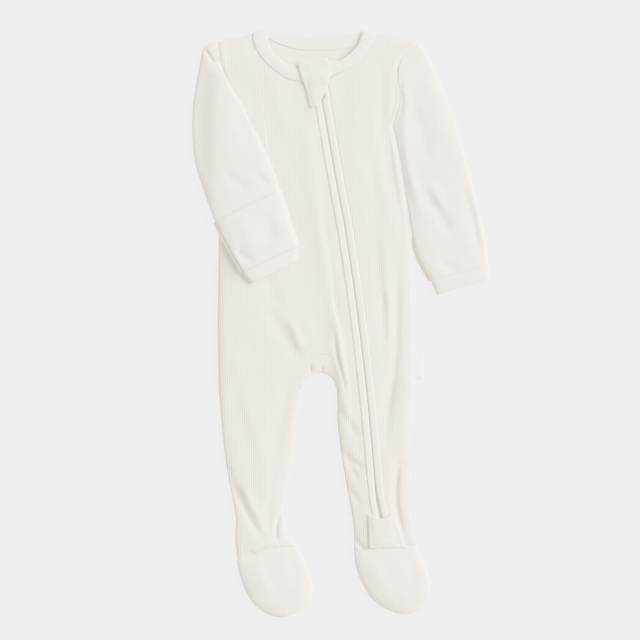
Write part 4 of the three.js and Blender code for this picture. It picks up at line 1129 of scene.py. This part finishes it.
class SLEEPSUIT_OT_neck(bpy.types.Operator):
    """Build the neck binding and its two rows of stitching"""
    bl_idname = "sleepsuit.neck"
    bl_label = "Neck binding"
    bl_options = {"REGISTER", "UNDO"}

    fold_radius = 1.3
    crown = 0.55
    back_crown = 0.3
    wave = 0.08
    columns = 8

    def execute(self, context):
        back_level = BINDING / 2
        fold_top = back_level + 2 * self.fold_radius
        shares = np.linspace(0, 1, self.columns + 1)
        level = np.ones(self.columns + 1)
        rows = []

        def station(seam, free, z):
            xy = seam + shares[:, None] * (free - seam)
            crown = self.crown * np.sin(math.pi * shares)
            rows.append(np.concatenate([xy, (z + crown)[:, None]], axis=1))

        def front(seam, free):
            for t in np.linspace(1, 0, 44):
                z = max(fold_top, float(body_level(seam(t)[None], creased=False)[0]))
                station(seam(t), free(t), z + self.wave * math.sin(50 * t) * level)

        def turn_over(seam, free, direction):
            run = free - seam
            outward = np.array([-run[1], run[0]]) / np.linalg.norm(run) * direction
            for i in range(1, 8):
                angle = math.pi * (0.5 - i / 8) * direction
                out = outward * self.fold_radius * math.cos(angle)
                z = back_level + self.fold_radius * (1 + math.sin(angle))
                station(seam + out, free + out, z * level - self.crown * np.sin(math.pi * shares))

        seam_left, free_left = through(NECK_SEAM_LEFT), through(NECK_FREE_LEFT)
        seam_right, free_right = through(NECK_SEAM_RIGHT), through(NECK_FREE_RIGHT)
        seam_back, free_back = through(NECK_SEAM_BACK), through(NECK_FREE_BACK)
        front(seam_left, free_left)
        turn_over(seam_left(0), free_left(0), 1)
        for t in np.linspace(0, 1, 60):
            dip = self.back_crown * np.sin(math.pi * shares)
            station(seam_back(t), free_back(t), back_level * level - dip)
        turn_over(seam_right(1), free_right(1), -1)
        front(seam_right, free_right)
        grid = np.array(rows)
        middle = grid[:, self.columns // 2]
        down = np.concatenate([[0], np.cumsum(np.linalg.norm(np.diff(middle, axis=0), axis=1))])
        grain = np.stack(np.broadcast_arrays(down[:, None], shares[None, :] * 14), axis=-1)
        piece = cloth_object("neck_binding_cloth", [(grid, grain)], BINDING)
        rows_of_thread = []
        for line in (seam_left, seam_right):
            for away in (1.6, 4.4):
                rows_of_thread.append(raised(beside(line, -away), body_level, KNIT / 2 + 0.05, 0.03))
        rows_of_thread.append(raised(beside(seam_back, -1.8), lambda xy: 2 * floor_level(xy), 0.1, 0.06))
        thread = stitching("neck_stitching", rows_of_thread)
        pairs = ((seam_left, free_left), (seam_right, free_right), (seam_back, free_back))
        width = np.mean([
            np.linalg.norm(free(t) - seam(t)) for t in (0, 0.25, 0.5, 0.75, 1) for seam, free in pairs])
        finish_cloth(piece, "neck_binding", binding_knit(),
                     [thread])
        return {"FINISHED"}


class SLEEPSUIT_OT_zip(bpy.types.Operator):
    """Build the zip's tape, coil, slider and stitching"""
    bl_idname = "sleepsuit.zip"
    bl_label = "Zip"
    bl_options = {"REGISTER", "UNDO"}

    tape_width = 12.6

    def execute(self, context):
        threads = []
        for sign in (-1, 1):
            row = beside(part(ZIP, ZIP_TOP + 0.01, 0.99), sign * (ZIP_REACH - 1.5))
            threads.append(raised(row, zip_level, BINDING * 0.4 + 0.42))
        stitching("zip_stitching", threads)
        tape_line = part(ZIP, ZIP_TOP, 0.985)

        def tape_level(xy):
            return body_level(xy, creased=False) + (BINDING - KNIT) / 2 - BINDING / 2 - SEAM - TAPE / 2

        left, right = (beside(tape_line, side * self.tape_width / 2) for side in (-1, 1))
        grid = patch(
            Line([left(0), right(0)]), Line([left(1), right(1)]), left, right, columns=6, rows=200)
        tape = cloth_object("zip_tape_cloth", [laid(grid, tape_level)], TAPE * 0.9)
        finish_cloth(tape, "zip_tape", woven_tape())
        s = sizes()
        coil_path = raised(part(ZIP, ZIP_TOP + 0.035, 0.985), tape_level, TAPE * 0.45 + 0.13)
        bar = s.coil_turn, s.coil_width, s.coil_height
        coil = along_paths("zip_coil", [coil_path], nylon_coil(), s.coil_pitch, bar)
        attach(coil, "root")
        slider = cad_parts["zip_slider"]
        paint = painted_zinc()
        for slot in slider.material_slots:
            slot.material = paint
        if not slider.material_slots:
            slider.data.materials.append(paint)
        return {"FINISHED"}


class SLEEPSUIT_OT_guards(bpy.types.Operator):
    """Build the chin guard over the top of the zip and the ankle guard over its foot"""
    bl_idname = "sleepsuit.guards"
    bl_label = "Guards"
    bl_options = {"REGISTER", "UNDO"}

    def execute(self, context):
        thickness = KNIT
        on_panel = (KNIT + thickness) / 2 + 0.3
        on_zip = 1.25 + thickness
        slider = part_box("zip_slider")
        centre = np.array([(slider[0][k] + slider[1][k]) / 2 / MM - SHIFT[k] for k in (0, 1)])
        slider_top = slider[1][2] / MM

        def guard_level(xy):
            past = eased((nearest(ZIP, xy)[0] - ZIP_REACH) / 5)
            past = np.maximum(past, eased((-221.9 - xy[..., 1]) / 1.5))
            under = np.maximum(body_level(xy), body_level(xy, creased=False))
            return under + on_zip + (on_panel - on_zip) * past

        def chin_level(xy):
            away = np.hypot(xy[..., 0] - centre[0], xy[..., 1] - centre[1]) / 11
            base = guard_level(xy)
            neck = np.minimum(nearest(coarse(NECK_SEAM_LEFT), xy)[0], nearest(coarse(NECK_SEAM_RIGHT), xy)[0])
            above = (xy[..., 1] > 238) | (neck < 4)
            base = base + 0.9 * eased((xy[..., 1] - 234) / 7) * above
            lift = slider_top + 0.4 + thickness / 2 - base
            return base + np.maximum(lift, 0) * np.exp(-away ** 4) + 0.2 * unevenness(xy, 18, 0.7)

        def ankle_level(xy):
            return guard_level(xy) + 0.15 * unevenness(xy, 16, 2.2)

        threads = []
        # The chin guard wears the copy of the knit darkened with painted shade.
        for name, node, outline, level, material in (
                ("chin_guard_cloth", "chin_guard", CHIN_GUARD, chin_level, shaded_guard_knit()),
                ("ankle_guard_cloth", "ankle_guard", ANKLE_GUARD, ankle_level, foot_knit())):
            lines = {key: through(points) for key, points in outline.items()}
            grid = patch(
                lines["top"], lines["bottom"], lines["left"], lines["right"], columns=20, rows=30)
            sheet, grain = laid(grid, level)
            piece = cloth_object(name, [(sheet, grain)], thickness)
            finish_cloth(piece, node, material)
            inside = chain(chain(beside(lines["left"], 1.6), beside(lines["bottom"], 1.6)),
                           Line(beside(lines["right"], -1.6).points[::-1]))
            threads.append(raised(inside, level, thickness / 2 + 0.05, 0.02))
        hem = beside(through(ANKLE_GUARD["top"]), -1.7)
        threads.append(raised(hem, ankle_level, thickness / 2 + 0.05, 0.03))
        stitching("guard_stitching", threads)
        return {"FINISHED"}


class SLEEPSUIT_OT_sleeves(bpy.types.Operator):
    """Build both sleeves, with their cuffs and fold-over mittens"""
    bl_idname = "sleepsuit.sleeves"
    bl_label = "Sleeves"
    bl_options = {"REGISTER", "UNDO"}

    def execute(self, context):
        for side in ("left", "right"):
            sleeve = Sleeve(side)
            mirrored = side == "left"
            seam = sleeve.seam
            ring, grain = sleeve.tube(0.0, seam - 0.02, 120, 36)
            piece = cloth_object(f"sleeve_cloth_{side}", [(ring, grain)], KNIT, flip=mirrored, weld=0.001)
            finish_cloth(piece, f"sleeve_{side}", smooth_knit())
            ring, grain = sleeve.tube(seam + 0.03, sleeve.hem, 14, 36, BINDING, SLEEVE_LOFT - 0.8)
            cuff = cloth_object(f"cuff_cloth_{side}", [(ring, grain)], BINDING, flip=mirrored, weld=0.001)
            rows = []
            for share in (0.16, 0.40):
                t = np.linspace(0.03, 0.97, 40)
                k = np.full_like(t, seam + share)
                xy, _, high = sleeve.levels(k, t, BINDING, SLEEVE_LOFT - 0.8)
                rows.append(np.concatenate([xy, (high + BINDING / 2 + 0.05)[:, None]], axis=1))
            thread = stitching(f"cuff_stitching_{side}", rows)
            finish_cloth(cuff, f"cuff_{side}", binding_knit(),
                         [thread])
        self.build_mittens()
        return {"FINISHED"}

    @staticmethod
    def build_mittens():
        left = Sleeve("left")

        def lift(k, t):
            mouth = np.exp(-((k - left.mouth) / 0.25) ** 2)
            return KNIT + SEAM + 0.45 + 1.4 * mouth * rounded(3 * np.minimum(t, 1 - t)) + 0 * t

        grid, grain = left.over(left.mouth, left.seam - 0.02, 34, 34, lift)
        piece = cloth_object("mitten_cloth_left", [(grid, grain)], KNIT * 1.2, flip=True)
        # it turns down over both edges of the sleeve by a quarter of a round of its reach
        finish_cloth(piece, "mitten_left", smooth_knit())

        right = Sleeve("right")
        across = rows = 30
        k = np.linspace(right.mouth, right.seam - 0.02, rows)[:, None]
        t = np.linspace(0, 1, across)[None, :]
        xy = right.place(k, t)
        out = xy[:, -1] - xy[:, -2]
        out /= np.linalg.norm(out, axis=1, keepdims=True)
        peek = 1.0 + 2.8 * eased(np.linspace(0, 4, rows))[:, None]
        edge = np.stack([xy[:, -1] + out * peek * share for share in (0.5, 1.0)], axis=1)
        xy = np.concatenate([xy, edge], axis=1)
        sheet, grain = laid(xy, floor_level, 0.28)
        piece = cloth_object("mitten_cloth_right", [(sheet, grain)], KNIT)
        finish_cloth(piece, "mitten_right", smooth_knit())


class SLEEPSUIT_OT_feet(bpy.types.Operator):
    """Build the feet: a top and a sole each"""
    bl_idname = "sleepsuit.feet"
    bl_label = "Feet"
    bl_options = {"REGISTER", "UNDO"}

    def execute(self, context):
        for side, turn in (("left", 0.22), ("right", 0.20)):
            foot = FEET[side]
            seam = beside(through(foot["ankle"]), -SEAM / 2)
            grid = patch(seam, through(foot["toe"]), starting(foot["outer"], seam(0)),
                         starting(foot["inner"], seam(1)), columns=40, rows=40)
            ankle_y = foot["ankle"][0][1]

            def top_level(xy):
                low = eased((ankle_y + 8 - xy[..., 1]) / 34)
                from_edge = edge_distance(xy)
                pucker = 0.08 * np.sin(xy[..., 0] * 1.1 + xy[..., 1] * 0.5) * np.exp(-(from_edge / 5) ** 2)
                return body_level(xy) + 2.2 * low * rounded(from_edge / 20) + pucker

            top = cloth_object(f"foot_top_cloth_{side}", [laid(grid, top_level, turn)], KNIT)
            finish_cloth(top, f"foot_top_{side}", foot_knit())
            sole = cloth_object(f"foot_sole_cloth_{side}", [laid(grid, floor_level, turn)], KNIT)
            finish_cloth(sole, f"foot_sole_{side}", foot_knit())
        return {"FINISHED"}


class SLEEPSUIT_OT_stage(bpy.types.Operator):
    """Lay out the floor, the lights and the camera"""
    bl_idname = "sleepsuit.stage"
    bl_label = "Stage"
    bl_options = {"REGISTER", "UNDO"}

    camera_height = 3.0
    seen_width = 0.640
    aim = (-20.0, 3.0)
    sensor = 36.0
    floor_half = 4.0
    floor_height = -0.0002
    world_strength = 1.5

    def execute(self, context):
        scene = bpy.context.scene
        mesh = bpy.data.meshes.new("floor")
        corners = [(x * self.floor_half, y * self.floor_half, self.floor_height)
                   for x, y in ((-1, -1), (1, -1), (1, 1), (-1, 1))]
        mesh.from_pydata(corners, [], [(0, 1, 2, 3)])
        mesh.materials.append(floor_paper())
        floor = bpy.data.objects.new("floor", mesh)
        scene.collection.objects.link(floor)

        camera = bpy.data.objects.new("camera", bpy.data.cameras.new("camera"))
        camera.data.sensor_width = self.sensor
        camera.data.lens = self.sensor * self.camera_height / self.seen_width
        camera.data.clip_end = 20
        camera.location = ((self.aim[0] + SHIFT[0]) * MM, (self.aim[1] + SHIFT[1]) * MM, self.camera_height)
        scene.collection.objects.link(camera)
        scene.camera = camera

        for name, place, spread, strength in (
                ("key", (1.0, 0.42, 0.56), 0.65, 30.0), ("fill", (-0.7, -0.5, 1.6), 0.9, 1.5)):
            light = bpy.data.lights.new(name, "SUN")
            light.angle = spread
            light.energy = strength
            lamp = bpy.data.objects.new(name, light)
            lamp.location = place
            x, y, z = place
            lamp.rotation_euler = (math.atan2(math.hypot(x, y), z), 0, math.atan2(y, x) + math.pi / 2)
            scene.collection.objects.link(lamp)
        world = bpy.data.worlds.new("studio")
        world.use_nodes = True
        background = world.node_tree.nodes["Background"]
        background.inputs["Color"].default_value = (1.0, 0.99, 0.985, 1.0)
        background.inputs["Strength"].default_value = self.world_strength
        scene.world = world
        return {"FINISHED"}


class SLEEPSUIT_PT_panel(bpy.types.Panel):
    """Lists the steps that build the suit"""
    bl_idname = "SLEEPSUIT_PT_panel"
    bl_label = "Sleepsuit"
    bl_space_type = "VIEW_3D"
    bl_region_type = "UI"
    bl_category = "Sleepsuit"

    def draw(self, context):
        column = self.layout.column()
        for step in STEPS:
            column.operator(step.bl_idname)
        for group in (context.scene.sleepsuit_sizes, context.scene.sleepsuit_colours):
            for key in group.__annotations__:
                column.prop(group, key)


STEPS = (
    SLEEPSUIT_OT_stage, SLEEPSUIT_OT_body, SLEEPSUIT_OT_neck, SLEEPSUIT_OT_zip, SLEEPSUIT_OT_guards,
    SLEEPSUIT_OT_sleeves, SLEEPSUIT_OT_feet,
)
CLASSES = (SleepsuitSizes, SleepsuitColours) + STEPS + (SLEEPSUIT_PT_panel,)


def register():
    for item in CLASSES:
        bpy.utils.register_class(item)
    bpy.types.Scene.sleepsuit_sizes = bpy.props.PointerProperty(type=SleepsuitSizes)
    bpy.types.Scene.sleepsuit_colours = bpy.props.PointerProperty(type=SleepsuitColours)


def unregister():
    del bpy.types.Scene.sleepsuit_colours
    del bpy.types.Scene.sleepsuit_sizes
    for item in reversed(CLASSES):
        bpy.utils.unregister_class(item)


def main():
    register()
    for step in STEPS:
        group, name = step.bl_idname.split(".")
        getattr(getattr(bpy.ops, group), name)()


if __name__ == "__main__":
    main()
